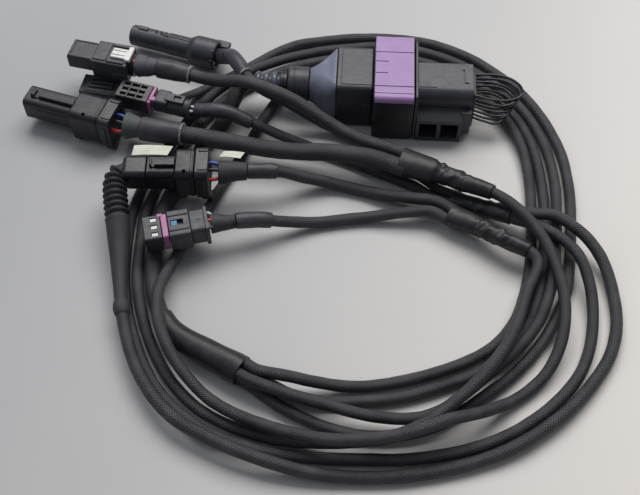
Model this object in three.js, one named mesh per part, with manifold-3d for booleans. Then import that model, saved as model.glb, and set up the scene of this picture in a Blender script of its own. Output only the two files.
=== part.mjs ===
// A vehicle wiring harness, coiled as it lies on a table: one large inline connector with a slide lock, a trunk
// and three branches in braided sleeving, four splice sleeves and eight small connectors on short leads.
// Millimetres, +Z up. The origin is the centre of the main connector's base, on the table.
import * as THREE from "three";
import { mergeVertices } from "three/addons/utils/BufferGeometryUtils.js";
import Module from "manifold-3d";

const wasm = await Module();
wasm.setup();

// Gaps between pieces
const clearance = 0.3;
const cableGap = 0.7;
const jointGap = 0.6;
const tableGap = 0.05;

// Cable radii over their sleeving
const trunkRadius = 4.2;
const branchRadius = 2.9;
const flatLeadRadius = 2.9;
const mouldedLeadRadius = 3.1;
const leftLeadRadius = 4.8;
const upperLeadRadius = 3.5;
const barrelLeadRadius = 2.8;
const slottedLeadRadius = 2.8;
const threeWayLeadRadius = 3.0;
const lowerLeadRadius = 3.2;

// Splice sleeves: length, radius at the single-cable end and at the end where the cables join
const topSplice = { length: 52, single: 4.3, joined: 7.4 };
const middleSplice = { length: 34, single: 4.9, joined: 4.9 };
const nearSplice = { length: 46, single: 4.4, joined: 5.8 };
const trunkSplice = { length: 52, single: 5.6, joined: 7.5 };

// How a cable is laid: sample spacing, how far a hump spreads, and what counts as a new turn of the same cable
const sampleStep = 4;
const humpReach = 16;
const turnLength = 80;
const jointReach = 16;
const branch1TurnHeight = 5.8;
const tubeStep = 15.6;
const tubeSides = 8;
const roundSides = 12;

// The main connector stands at this place of the layout, turned a little clockwise
const mainPlace = [41, 96];
const mainTurn = -3;
const coverSize = { length: 20, width: 32, height: 31.5, middle: 2 };
const socketSize = { length: 22.5, width: 44, height: 33 };
const flangeSize = { length: 1.5, width: 44, height: 34 };
const plugSize = { length: 30, width: 24, height: 31, middle: -3.5, noseRadius: 6 };
const pocketBlock = { length: 25, depth: 7, height: 17 };
const pocketSize = { width: 9.6, height: 11, depth: 16, floor: 3, rib: 2.2 };
const lockSize = { length: 21, width: 47, thickness: 3, lip: 2.5, railWidth: 3, railDepth: 4 };
const lockTravel = 10;
const bootSize = { length: 15, radius: 15 };
const collarSize = { length: 12, radius: 9.8 };
const ringSize = { length: 4, radius: 7 };
const neckSize = { length: 14.5, radius: 6, ribs: 4 };
const axisHeight = 16;
const jumper = { count: 8, radius: 0.65, reach: 27, plate: 1.5 };

// The sealed plugs: the left one and the lower one are of one family
const sealedPlug = { shellWidth: 14, shellHeight: 14.5, wall: 1.6, cavity: 12, collarWidth: 19.5, collarHeight: 20,
  retainerWidth: 20.5, retainerHeight: 21, retainerLength: 7, wireRadius: 1, wireLength: 4 };
const leftShellLength = 29.5;
const leftCollarLength = 17;
const lowerShellLength = 15;
const lowerCollarLength = 10;
const mouldedPlug = { length: 8, width: 14, height: 14 };

// Small connectors
const upperPlug = { length: 21, width: 17, height: 13, noseLength: 15, noseWidth: 14, noseHeight: 9, wall: 1.4,
  cavity: 10, ringLength: 2.4, ringRadius: 6.4 };
const barrelPlug = { length: 37, radius: 6.3, wall: 1.3, cavity: 14, collarLength: 17, collarRadius: 8.8 };
const flatPlug = { length: 25, width: 14, height: 11, plate: 1.2, wall: 1.4, cavity: 9 };
const slottedPlug = { length: 19, width: 13, height: 10, lockLength: 3, bodyLength: 18, bodyRadius: 5.4,
  ringLength: 3, ringRadius: 6.4, slots: 4 };
const threeWayPlug = { length: 9, width: 15, height: 11.5, lockLength: 3, collarLength: 11, collarWidth: 17,
  collarHeight: 13, bodyLength: 9, bodyWidth: 14.5, bodyHeight: 12, window: 4.2, windowDepth: 6 };

// Boots and heat-shrinks on the leads: length and radius of each, in order from the connector
const leftFittings = { gap: 4.6, boot: [9, 7.6], shrink: [24, 6.8] };
const upperFittings = { gap: 1, boot: [12, 6.4], shrink: [19, 5.8] };
const barrelFittings = { gap: 0.6, shrink: [38, 4.6] };
const slottedFittings = { gap: 0.6, shrink: [35, 4.1] };
const threeWayFittings = { gap: 0.8, boot: [13, 5.1], shrink: [19, 4.4] };
const lowerFittings = { gap: 4.6, boot: [15, 6.4], shrink: [16, 4.3] };

// Routes on the table, chosen by hand: x, y and, where something holds the cable up, its height there
const trunkRoute = [
  [-37.4, 102.1, 16], [-43.5, 100.4], [-48.5, 93.5], [-53, 84.5], [-58.5, 75], [-64.5, 65], [-70, 53], [-76.5, 40],
  [-82, 24], [-85, 8], [-85.5, -8], [-84.5, -24], [-81, -38], [-75, -50], [-67, -58], [-54, -66], [-45.5, -71],
];
const branch1First = [
  [-22, -78.6, 9.4], [-13, -80.2, 7.5], [-3, -81.4], [14, -82.3], [34, -80], [54, -75], [72, -68],
  [86, -59], [96.5, -46], [103, -31], [107.5, -14], [110.5, 4], [112.5, 22], [113.5, 43], [112, 63],
  [107, 80], [98, 95], [86, 107], [72, 117], [57, 123.5], [40, 125.5], [22, 124.5], [4, 121], [-11, 115],
  [-21, 106], [-27, 96], [-32, 86], [-37, 74], [-43, 60], [-49, 47], [-55, 34], [-61, 20], [-67.5, 6],
  [-74, -10],
];
const branch1Second = [
  [-74, -10], [-78, -24], [-79.5, -38], [-78, -52], [-73, -65], [-66, -76], [-56, -87], [-44, -96], [-30, -103],
  [-14, -109], [4, -113.5], [22, -114.5], [40, -112], [57, -106], [72, -100], [86, -92.5], [99, -84], [109, -74.5],
  [116, -62], [119.5, -48], [120, -34], [118, -20], [114.5, -8], [109.5, 2], [103, 11], [96, 18.5], [89, 24, 14],
  [78, 29.5, 15], [66, 35.5, 15.5], [54, 40.5, 16], [43, 45, 16],
];
const branch2First = [
  [-23, -81.4], [-14, -86], [0, -89.5], [19, -89.5], [38, -87.5], [57, -82], [76, -74.5], [91, -64],
  [102.5, -49], [110, -32], [114.5, -14], [117.5, 4], [119.5, 22], [120, 43], [118.5, 63], [113, 82],
  [103, 99], [90, 113], [75, 123.5], [58, 131], [40, 134], [20, 133.5], [0, 131], [-19, 124.5], [-37, 114],
  [-53, 101.5], [-64.5, 87.5], [-73.5, 71], [-81, 54], [-88.3, 36], [-92.8, 18], [-93.6, 0],
];
const branch2Second = [
  [-93.6, 0], [-93, -18], [-90, -36], [-85.3, -52], [-79, -66], [-71, -79], [-60, -91], [-47, -99.5],
  [-32, -105.5], [-15, -109.5], [2, -111.5], [18, -112], [34, -110.5], [50, -104], [62, -95], [72, -86],
  [81, -76], [88.5, -66], [94.5, -54.5], [99.7, -42], [103.8, -31], [107.9, -23.5], [110.2, -16.8, 9],
  [107.4, -10.9, 11], [96, -4, 11], [82, 6.5], [68, 15.5, 8],
];
const branch3First = [
  [-26, -84.9, 9.8], [-14, -89.3, 8], [5, -94.5], [23, -99], [42, -100.5], [55, -97], [66, -89.5],
  [79, -78.5], [92, -67], [104, -54], [112, -39], [118, -22], [121.5, -4], [124.5, 16], [126.5, 38],
  [125.5, 63], [119.5, 84], [109, 103], [95, 118.5], [79, 130.5], [60, 139], [40, 143], [20, 142],
  [0, 138.5], [-20, 131], [-39.5, 120.5], [-56.5, 107.5], [-70.5, 91.5], [-80.5, 73.5], [-88.4, 56.5],
  [-95.5, 38], [-99.8, 19], [-100.4, 0],
];
const branch3Second = [
  [-100.4, 0], [-99.8, -18], [-97, -36], [-92.4, -52], [-86, -68], [-77.5, -83], [-66.5, -95], [-53, -105],
  [-36, -111.5], [-18, -116], [2, -118], [20, -118.5], [38, -118.5], [55, -116.5], [72, -112.5], [88, -106],
  [102, -97.5], [114, -87.5], [124, -76], [131, -62], [135, -46], [135.5, -30], [132, -15], [126, -5],
  [118.5, 3.5], [110.5, 9.5], [101, 14], [86, 21], [70, 28],
];
const flatLeadRoute = [
  [-26, -87.3], [-16, -94], [2, -102.5], [20, -107], [38, -106.5], [54, -102], [66, -95], [79, -86],
  [92, -76], [105, -62.5], [116, -47], [124, -30], [128.5, -11], [131.5, 8], [134, 27], [134.5, 46],
  [133, 63], [127, 84], [117, 104], [103, 121], [86, 135.5], [64, 146], [40, 150], [20, 150], [0, 147.5],
  [-14, 144.5], [-26, 138], [-37, 129.5], [-48.5, 121], [-60.5, 112.5], [-72.5, 105], [-85, 99.5],
  [-99, 100], [-112, 103, 4.4],
];
const mouldedLeadRoute = [
  [-100.2, 35, 18.8], [-104.3, 34.2, 18.7], [-106.6, 30.6, 18.2], [-106.9, 25, 17], [-105.6, 15.8, 14.6],
  [-103.8, 5.9, 12.5], [-102, -8.8], [-100.6, -21.5], [-98.6, -36.8], [-96.6, -47], [-93.2, -59.4],
  [-89.2, -70.3], [-84, -80.5], [-76.5, -91.5], [-66, -101.5], [-52, -109.5], [-38, -116], [-22, -121.5],
  [-4, -125.5], [16, -127], [36, -126.5], [54, -124], [72, -119.5], [89, -113], [104, -104], [118, -93],
  [131, -79], [141, -64.5], [146.5, -48], [147.5, -31], [145, -15.5], [139, -4], [130.5, 4.5],
  [121.5, 11.2],
];
const leftLeadRoute = [
  [-112, 74, 12.5], [-100, 71.5, 12.8], [-88, 68.5], [-76, 66], [-62, 63], [-45, 60], [-25, 57],
  [-5, 53.8, 10], [11, 50.8, 13], [23, 48, 15],
];
const upperLeadRoute = [
  [-104, 110.5, 20.6], [-93, 108, 20.4], [-82, 105.5, 20], [-71, 102.5, 19], [-57, 97, 17], [-40, 90],
  [-22, 82.2, 14], [-2, 72.8, 14], [15, 63.8, 14], [25, 58.4, 15],
];
const barrelLeadRoute = [
  [-60, 129.5, 9.5], [-52, 120.5, 14], [-46, 109, 21], [-40.5, 99, 24], [-32, 90, 19], [-18, 84.5, 11],
  [0, 79.5], [14, 74], [27, 66], [40, 55.5], [52, 45], [61, 36.5],
];
const slottedLeadRoute = [
  [-71, 83.2, 14], [-60, 80.4, 16.8], [-50, 78, 14], [-38, 75], [-20, 70], [-2, 63.5], [16, 55.5], [34, 46], [50, 37.5],
];
const threeWayLeadRoute = [
  [-57, 3.5, 16], [-46, 5.8, 14], [-34, 8.2, 10], [-20, 10.5], [-2, 13.5], [18, 16.5], [34, 17.5],
  [47, 17.8],
];
const lowerLeadRoute = [
  [-58, 35, 18.8], [-48, 35.2, 18], [-36, 36.2, 16], [-24, 37.6, 12.5], [-8, 39], [8, 38.5], [24, 34.5],
  [38, 29.5], [51, 25.8],
];

// Where each small connector meets its lead, and the way its mating end points, in degrees from +X
const leftPlugPlace = { at: [-112, 74, 12.5], heading: 161.5 };
const lowerPlugPlace = { at: [-58, 35, 18.8], heading: 180 };
const upperPlugPlace = { at: [-104, 110.5, 20.6], heading: 166 };
const barrelPlugPlace = { at: [-60, 129.5, 9.5], heading: 161.5 };
const flatPlugPlace = { at: [-111.9, 103.1, 6], heading: 170 };
const slottedPlugPlace = { at: [-71, 83.2, 14], heading: 163 };
const trunkJointPlace = { at: [-37, -76, 7.6], heading: -31 };
const threeWayPlugPlace = { at: [-57, 3.5, 16], heading: 192 };

// Materials
const plastic = (color, roughness = 0.5) => new THREE.MeshStandardMaterial({ color, roughness, metalness: 0 });
const charcoal = plastic(0x3a3b41);
const blackPlastic = plastic(0x1d1d21, 0.45);
const purple = plastic(0xa98bb8);
const white = plastic(0xe6e6e2);
const rubber = plastic(0x232427, 0.7);
const shrink = plastic(0x2a2b2e, 0.4);
const braid = plastic(0x151518, 0.85);
const redWire = plastic(0xb3243c);
const blueWire = plastic(0x3a4f9c);

const harness = new THREE.Group();
harness.position.set(-mainPlace[0], -mainPlace[1], 0);
const layout = new THREE.Group();
harness.add(layout);

// A geometry as one clean closed mesh: shared vertices merged, flat triangles dropped, faces turned outwards.
function closed(source) {
  const bare = source.index ? source.toNonIndexed() : source.clone();
  bare.deleteAttribute("normal");
  bare.deleteAttribute("uv");
  const merged = mergeVertices(bare, 1e-4);
  const corners = merged.attributes.position;
  const old = merged.index.array;
  const kept = [];
  let volume = 0;
  const a = new THREE.Vector3();
  const b = new THREE.Vector3();
  const c = new THREE.Vector3();
  for (let i = 0; i < old.length; i += 3) {
    const [p, q, r] = [old[i], old[i + 1], old[i + 2]];
    if (p === q || q === r || p === r) continue;
    kept.push(p, q, r);
    volume += a.fromBufferAttribute(corners, p).dot(b.fromBufferAttribute(corners, q)
      .cross(c.fromBufferAttribute(corners, r)));
  }
  if (volume < 0) kept.reverse();
  merged.setIndex(kept);
  return merged;
}

function toSolid(geometry) {
  const mesh = closed(geometry);
  return new wasm.Manifold(new wasm.Mesh({
    numProp: 3,
    vertProperties: new Float32Array(mesh.attributes.position.array),
    triVerts: new Uint32Array(mesh.index.array),
  }));
}

function toGeometry(solid) {
  const mesh = solid.getMesh();
  const geometry = new THREE.BufferGeometry();
  geometry.setAttribute("position", new THREE.BufferAttribute(new Float32Array(mesh.vertProperties), 3));
  geometry.setIndex(new THREE.BufferAttribute(new Uint32Array(mesh.triVerts), 1));
  return geometry;
}

const join = (...parts) => toGeometry(parts.map(toSolid).reduce((all, one) => all.add(one)));
const cut = (body, ...tools) => toGeometry(tools.map(toSolid).reduce((left, tool) => left.subtract(tool), toSolid(body)));

function piece(parent, name, geometry, material) {
  const mesh = new THREE.Mesh(closed(geometry), material);
  mesh.name = name;
  parent.add(mesh);
  return mesh;
}

function box(x0, x1, y0, y1, z0, z1) {
  return new THREE.BoxGeometry(x1 - x0, y1 - y0, z1 - z0).translate((x0 + x1) / 2, (y0 + y1) / 2, (z0 + z1) / 2);
}

// A bar along X with rounded long edges; y and z are its middle.
function bar(x0, x1, width, height, corner, y = 0, z = 0) {
  const w = width / 2;
  const h = height / 2;
  const outline = new THREE.Shape();
  outline.moveTo(-w + corner, -h);
  outline.absarc(w - corner, -h + corner, corner, -Math.PI / 2, 0);
  outline.absarc(w - corner, h - corner, corner, 0, Math.PI / 2);
  outline.absarc(-w + corner, h - corner, corner, Math.PI / 2, Math.PI);
  outline.absarc(-w + corner, -h + corner, corner, Math.PI, 1.5 * Math.PI);
  const solid = new THREE.ExtrudeGeometry(outline, { depth: x1 - x0, bevelEnabled: false, curveSegments: 3 });
  solid.applyMatrix4(new THREE.Matrix4().makeBasis(
    new THREE.Vector3(0, 1, 0), new THREE.Vector3(0, 0, 1), new THREE.Vector3(1, 0, 0)));
  return solid.translate(x0, y, z);
}

// A round piece along X: profile points are distance along X and radius.
function turned(profile, sides = roundSides, y = 0, z = 0) {
  const points = profile.map(([along, radius]) => new THREE.Vector2(radius, along));
  return new THREE.LatheGeometry(points, sides).rotateZ(-Math.PI / 2).translate(0, y, z);
}

function rod(x0, x1, radius, y = 0, z = 0, sides = roundSides) {
  return turned([[x0, 0], [x0, radius], [x1, radius], [x1, 0]], sides, y, z);
}

// Laying cables. Every sample of what already lies on the table is kept, so a later cable rests on it.
const laid = [];

// Cables that meet in one splice needn't clear each other near its mouth. A height given for an end is kept there.
const joints = [];

function layCable(cable, route, radiusAt, { start = 0, startHeight = null, endHeight = null } = {}) {
  const pinned = (i) => (i === 0 && startHeight !== null) || (i === route.length - 1 && endHeight !== null);
  const plan = new THREE.CatmullRomCurve3(
    route.map(([x, y, z = 0], i) => new THREE.Vector3(x, y, pinned(i) ? 0 : z)), false, "catmullrom");
  plan.arcLengthDivisions = route.length * 40;
  const length = plan.getLength();
  const count = Math.ceil(length / sampleStep);
  const samples = plan.getSpacedPoints(count).map((p, i) => {
    const along = start + length * i / count;
    return { cable, along, x: p.x, y: p.y, z: p.z, radius: radiusAt(along - start, length) };
  });
  const mine = joints.filter((joint) => joint.cables.includes(cable));
  const need = samples.map((s) => {
    const meets = mine.filter(({ at }) => Math.hypot(s.x - at[0], s.y - at[1]) < jointReach).flatMap((joint) => joint.cables);
    let low = Math.max(s.radius + tableGap, s.z);
    for (const under of laid) {
      if (under.cable === cable && s.along - under.along < turnLength) continue;
      if (under.cable !== cable && meets.includes(under.cable)) continue;
      const apart = s.radius + under.radius + cableGap;
      const away = Math.hypot(s.x - under.x, s.y - under.y);
      if (away < apart) low = Math.max(low, under.z + Math.sqrt(apart * apart - away * away));
    }
    return low;
  });
  const spread = Math.round(humpReach / sampleStep);
  const near = (values, i) => values.slice(Math.max(0, i - spread), i + spread + 1);
  const lift = need.map((_, i) => Math.max(...near(need, i)));
  samples.forEach((s, i) => {
    const around = near(lift, i);
    s.z = around.reduce((sum, value) => sum + value, 0) / around.length;
  });
  const pin = (height, index) => {
    if (height === null) return;
    const error = height - samples[index].z;
    samples.forEach((s, i) => {
      const t = Math.max(0, 1 - Math.abs(i - index) * sampleStep / (2 * humpReach));
      s.z += error * t * t * (3 - 2 * t);
    });
  };
  pin(startHeight, 0);
  pin(endHeight, samples.length - 1);
  laid.push(...samples);
  return samples;
}

// The smooth line through laid samples, and a stretch of it between two distances.
function lineOf(samples) {
  const line = new THREE.CatmullRomCurve3(samples.map((s) => new THREE.Vector3(s.x, s.y, s.z)), false, "catmullrom");
  line.arcLengthDivisions = samples.length * 6;
  return line;
}

function stretch(line, from, to) {
  const length = line.getLength();
  const count = Math.max(4, Math.ceil(2 * (to - from) / sampleStep));
  const points = [];
  for (let i = 0; i <= count; i += 1) points.push(line.getPointAt(Math.min(1, Math.max(0, (from + (to - from) * i / count) / length))));
  const part = new THREE.CatmullRomCurve3(points, false, "catmullrom");
  part.arcLengthDivisions = count * 6;
  return part;
}

// A cable's tube between two distances of its line.
function cable(name, line, from, to, radius) {
  const part = stretch(line, from, to);
  const section = new THREE.Shape();
  for (let i = 0; i < tubeSides; i += 1) {
    const turn = (i + 0.5) / tubeSides * 2 * Math.PI;
    if (i === 0) section.moveTo(radius * Math.cos(turn), radius * Math.sin(turn));
    else section.lineTo(radius * Math.cos(turn), radius * Math.sin(turn));
  }
  const steps = Math.max(3, Math.round((to - from) / tubeStep));
  piece(layout, name, new THREE.ExtrudeGeometry(section, { steps, extrudePath: part, bevelEnabled: false }), braid);
}

// A round piece that follows a line between two distances: profile points are distance from its start and radius.
function fitting(name, line, from, to, profile, material) {
  const part = stretch(line, from, to);
  const length = to - from;
  const round = new THREE.LatheGeometry([new THREE.Vector2(0, 0),
    ...profile.map(([along, radius]) => new THREE.Vector2(radius, along)), new THREE.Vector2(0, length)], roundSides);
  const stations = 24;
  const frames = part.computeFrenetFrames(stations, false);
  const corners = round.attributes.position;
  for (let i = 0; i < corners.count; i += 1) {
    const u = Math.min(1, Math.max(0, corners.getY(i) / length));
    const k = Math.round(u * stations);
    const spot = part.getPointAt(u)
      .addScaledVector(frames.normals[k], corners.getX(i))
      .addScaledVector(frames.binormals[k], corners.getZ(i));
    corners.setXYZ(i, spot.x, spot.y, spot.z);
  }
  piece(layout, name, round, material);
}

const plainProfile = (length, first, last = first) =>
  [[0, first - 0.5], [0.8, first], [length - 0.8, last], [length, last - 0.5]];

// Shrunk sleeving over a splice, with the ridges where it gathered between its two ends.
function gatheredProfile(splice, ripple) {
  const profile = [[0, splice.single - 0.5]];
  const stations = 13;
  for (let i = 0; i <= stations; i += 1) {
    const t = i / stations;
    const ridge = t > 0.35 && t < 0.7 && i % 2 ? ripple : 0;
    profile.push([0.8 + t * (splice.length - 1.6), splice.single + (splice.joined - splice.single) * t + ridge]);
  }
  profile.push([splice.length, splice.joined - 0.5]);
  return profile;
}

// A point beside the mouth of a splice: across to the left of its way, and ahead of it.
function beside({ at, way }, across, ahead = 0) {
  const flat = Math.hypot(way.x, way.y);
  const [x, y] = [way.x / flat, way.y / flat];
  return [at.x - y * across + x * ahead, at.y + x * across + y * ahead, at.z + way.z / flat * ahead];
}

// A lead from its connector: a bare gap, a boot, a heat-shrink and then the sleeved cable to its splice.
function layLead(name, route, fittings, radius, mouth, across) {
  const [bootLength, bootRadius] = fittings.boot ?? [0, 0];
  const [shrinkLength, shrinkRadius] = fittings.shrink;
  const bootEnd = fittings.gap + bootLength;
  const shrinkEnd = bootEnd + shrinkLength;
  const radiusAt = (along) => (along < bootEnd ? bootRadius : along < shrinkEnd ? shrinkRadius : radius);
  const end = beside(mouth, across);
  const approach = beside(mouth, across, 9);
  joints.push({ at: end, cables: [name, mouth.cable] });
  const samples = layCable(name, [...route, approach, end], radiusAt, { startHeight: route[0][2], endHeight: end[2] });
  const line = lineOf(samples);
  const half = clearance / 2;
  if (fittings.boot) {
    fitting(name + "_boot", line, fittings.gap, bootEnd - half,
      plainProfile(bootLength - half, bootRadius, bootRadius * 0.94), rubber);
  }
  fitting(name + "_shrink", line, bootEnd + half, shrinkEnd - half,
    plainProfile(shrinkLength - clearance, shrinkRadius, (shrinkRadius + radius) / 2 + 0.6), shrink);
  cable(name + "_cable", line, shrinkEnd + half, line.getLength() - jointGap, radius);
}

// Samples of a cable whose last stretch before the mouth of its splice is moved across, to the left of its way.
function movedAcross(samples, mouth, across) {
  return samples.map((s, i) => {
    const next = samples[Math.min(i + 1, samples.length - 1)];
    const last = samples[Math.max(i - 1, 0)];
    const flat = Math.hypot(next.x - last.x, next.y - last.y);
    const t = Math.max(0, 1 - Math.abs(mouth - i * sampleStep) / (2 * jointReach));
    const shift = across * t * t * (3 - 2 * t);
    return { ...s, x: s.x - (next.y - last.y) / flat * shift, y: s.y + (next.x - last.x) / flat * shift };
  });
}

// A long cable that ends in a splice sleeve: gives the sleeve's two mouths.
function endInSplice(name, cableName, samples, splice, ripple, radius, across = 0, from = jointGap) {
  const line = lineOf(samples);
  const length = line.getLength();
  const mouth = length - splice.length;
  fitting(name, line, mouth, length, gatheredProfile(splice, ripple), shrink);
  const cableLine = across ? lineOf(movedAcross(samples, mouth, across)) : line;
  cable(cableName, cableLine, from, mouth - (across ? 3 : 1) * jointGap, radius);
  const id = samples.at(-1).cable;
  return {
    first: { cable: id, at: line.getPointAt(mouth / length), way: line.getTangentAt(mouth / length).negate() },
    last: { cable: id, at: line.getPointAt(1), way: line.getTangentAt(1) },
  };
}


// Where the trunk splice ends, the four cables that leave it lie two over two
const headingOf = (degrees) => new THREE.Vector3(Math.cos(THREE.MathUtils.degToRad(degrees)),
  Math.sin(THREE.MathUtils.degToRad(degrees)), 0);
const trunkJoint = { at: new THREE.Vector3(...trunkJointPlace.at), way: headingOf(trunkJointPlace.heading) };
joints.push({ at: trunkJointPlace.at, cables: ["trunk", "branch_1", "branch_2", "branch_3", "flat"] });
const quarter = branchRadius + clearance / 2;

function fromTrunk(across, up, route) {
  const [x, y, z] = beside(trunkJoint, across, jointGap);
  const [x2, y2, z2] = beside(trunkJoint, across, 7);
  return [[x, y, z + up], [x2, y2, z2 + up], ...route];
}

const flatStart = fromTrunk(-quarter, -quarter, flatLeadRoute);
const flatLead = layCable("flat", flatStart, () => flatLeadRadius,
  { startHeight: flatStart[0][2], endHeight: flatLeadRoute.at(-1)[2] });
const flatLine = lineOf(flatLead);
cable("flat_cable", flatLine, 0, flatLine.getLength() - clearance, flatLeadRadius);

// First turns of the branches, from the trunk splice round to the left side, then the trunk over them
const layBranch = (name, across, up, route, endHeight = null) => {
  const whole = fromTrunk(across, up, route);
  return layCable(name, whole, () => branchRadius, { startHeight: whole[0][2], endHeight });
};
const firstTurn2 = layBranch("branch_2", quarter, -quarter, branch2First);
const firstTurn1 = layBranch("branch_1", quarter, quarter, branch1First, branch1TurnHeight);
const firstTurn3 = layBranch("branch_3", -quarter, quarter, branch3First);
const spliceRadius = (splice, radius) => (along, length) =>
  (along > length - splice.length
    ? splice.single + (splice.joined - splice.single) * (along - length + splice.length) / splice.length : radius);
const trunk = layCable("trunk", [...trunkRoute, trunkJointPlace.at], spliceRadius(trunkSplice, trunkRadius),
  { startHeight: trunkRoute[0][2], endHeight: trunkJointPlace.at[2] });
endInSplice("trunk_splice", "trunk_cable", trunk, trunkSplice, 0, trunkRadius);

// Second turns of branches 2 and 3, which end in the low splices
const after = (samples) => ({ start: samples.at(-1).along, startHeight: samples.at(-1).z });
const secondTurn2 = layCable("branch_2", branch2Second, spliceRadius(nearSplice, branchRadius), after(firstTurn2));
const near = endInSplice("near_splice", "branch_2_cable", [...firstTurn2, ...secondTurn2.slice(1)],
  nearSplice, 0.5, branchRadius, 0, 0);
const secondTurn3 = layCable("branch_3", branch3Second, spliceRadius(middleSplice, branchRadius), after(firstTurn3));
const middle = endInSplice("middle_splice", "branch_3_cable", [...firstTurn3, ...secondTurn3.slice(1)],
  middleSplice, 0, branchRadius, 3.1, 0);

// The moulded plug's ribbed relief and long tapering tail lie on the same line as its lead, which ends in the
// middle splice beside branch 3
const tailLength = 88;
const reliefRibs = 9;
const ribPitch = 3.4;
const tailProfile = [[0, 5.6], [1, 6.2]];
for (let i = 0; i < reliefRibs; i += 1) {
  const at = 3 + i * ribPitch;
  tailProfile.push([at, 6.1], [at + 0.4, 5.1], [at + 1.4, 5.1], [at + 1.8, 6.1]);
}
tailProfile.push([35, 6.2], [50, 5.2], [66, 3.9], [78, 3.2], [80, 3.9], [83, 4.2], [86, 3.9], [tailLength - 0.6, 3.3]);
const tailRadius = (along) => (along < 40 ? 6.2 : along < tailLength ? 6.2 - (along - 40) * 0.06 : mouldedLeadRadius);
const mouldedEnd = beside(middle.first, 3.2);
joints.push({ at: mouldedEnd, cables: ["moulded", "branch_3"] });
const mouldedLead = layCable("moulded", [...mouldedLeadRoute, beside(middle.first, 3.4, 8), mouldedEnd], tailRadius,
  { startHeight: mouldedLeadRoute[0][2], endHeight: mouldedEnd[2] });
const mouldedLine = lineOf(mouldedLead);
fitting("moulded_relief", mouldedLine, 0, tailLength - 0.6, tailProfile, rubber);
cable("moulded_cable", mouldedLine, tailLength, mouldedLine.getLength() - jointGap, mouldedLeadRadius);

// Leads to the low splices, then branch 1 over them, and the two leads that join it
layLead("slotted", slottedLeadRoute, slottedFittings, slottedLeadRadius, middle.last, 3);
layLead("lower", lowerLeadRoute, lowerFittings, lowerLeadRadius, near.last, -3.5);
layLead("three_way", threeWayLeadRoute, threeWayFittings, threeWayLeadRadius, near.last, 3.5);
layLead("barrel", barrelLeadRoute, barrelFittings, barrelLeadRadius, middle.last, -3);
const secondTurn1 = layCable("branch_1", branch1Second, spliceRadius(topSplice, branchRadius), after(firstTurn1));
const top = endInSplice("top_splice", "branch_1_cable", [...firstTurn1, ...secondTurn1.slice(1)],
  topSplice, 0.6, branchRadius, 0, 0);
layLead("left", leftLeadRoute, leftFittings, leftLeadRadius, top.last, 3.9);
layLead("upper", upperLeadRoute, upperFittings, upperLeadRadius, top.last, -5.4);

function groupAt({ at, heading }) {
  const group = new THREE.Group();
  group.position.set(...at);
  group.rotation.z = THREE.MathUtils.degToRad(heading);
  layout.add(group);
  return group;
}

// One of the two sealed plugs, from its cable end at x = 0: retainer, collar with a latch, shell with its mouth
function makeSealedPlug(name, place, shellLength, collarLength) {
  const p = sealedPlug;
  const plug = groupAt(place);
  const collarStart = p.retainerLength + clearance;
  const shellStart = collarStart + collarLength + clearance;
  const shellEnd = shellStart + shellLength;
  piece(plug, name + "_retainer", join(bar(0, p.retainerLength, p.retainerWidth, p.retainerHeight, 3.5),
    bar(p.retainerLength * 0.3, p.retainerLength * 0.7, p.retainerWidth + 1.6, p.retainerHeight - 8, 1)), blackPlastic);
  piece(plug, name + "_collar", cut(bar(collarStart, shellStart - clearance, p.collarWidth, p.collarHeight, 4),
    rod(collarStart + collarLength * 0.45, collarStart + collarLength * 0.45 + 2, 1, 0, 0).rotateY(Math.PI / 2)
      .translate(collarStart + collarLength * 0.5, p.collarWidth / 2 - 3, 0)), charcoal);
  const keyTop = p.shellHeight / 2 + 2.2;
  const shell = join(bar(shellStart, shellEnd, p.shellWidth, p.shellHeight, 3),
    box(shellStart, shellEnd - shellLength * 0.12, -2.4, 2.4, 0, keyTop));
  const mouth = bar(shellEnd - p.cavity, shellEnd + 1, p.shellWidth - 2 * p.wall, p.shellHeight - 2 * p.wall, 1.6);
  const keyHole = box(shellEnd - shellLength * 0.3, shellEnd - shellLength * 0.2, -3, 3, p.shellHeight / 2 + 0.5, keyTop - 0.6);
  piece(plug, name + "_shell", cut(shell, mouth, keyHole), charcoal);
  const wireEnd = p.wireLength - clearance;
  piece(plug, name + "_blue_wire", rod(-wireEnd, -clearance, p.wireRadius, -3, 4.2, 8), blueWire);
  piece(plug, name + "_red_wire", rod(-wireEnd, -clearance, p.wireRadius, 5, 0.5, 8), redWire);
  return { plug, shellEnd };
}

makeSealedPlug("left_plug", leftPlugPlace, leftShellLength, leftCollarLength);
const lower = makeSealedPlug("lower_plug", lowerPlugPlace, lowerShellLength, lowerCollarLength);

// Body of the moulded plug, pushed against the lower plug's mouth
const mouldedStart = lower.shellEnd + clearance;
piece(lower.plug, "moulded_plug", join(
  bar(mouldedStart, mouldedStart + mouldedPlug.length, mouldedPlug.width, mouldedPlug.height, 3),
  bar(mouldedStart - 9, mouldedStart + 1, mouldedPlug.width - 5, mouldedPlug.height - 5, 1.2)), rubber);

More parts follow.
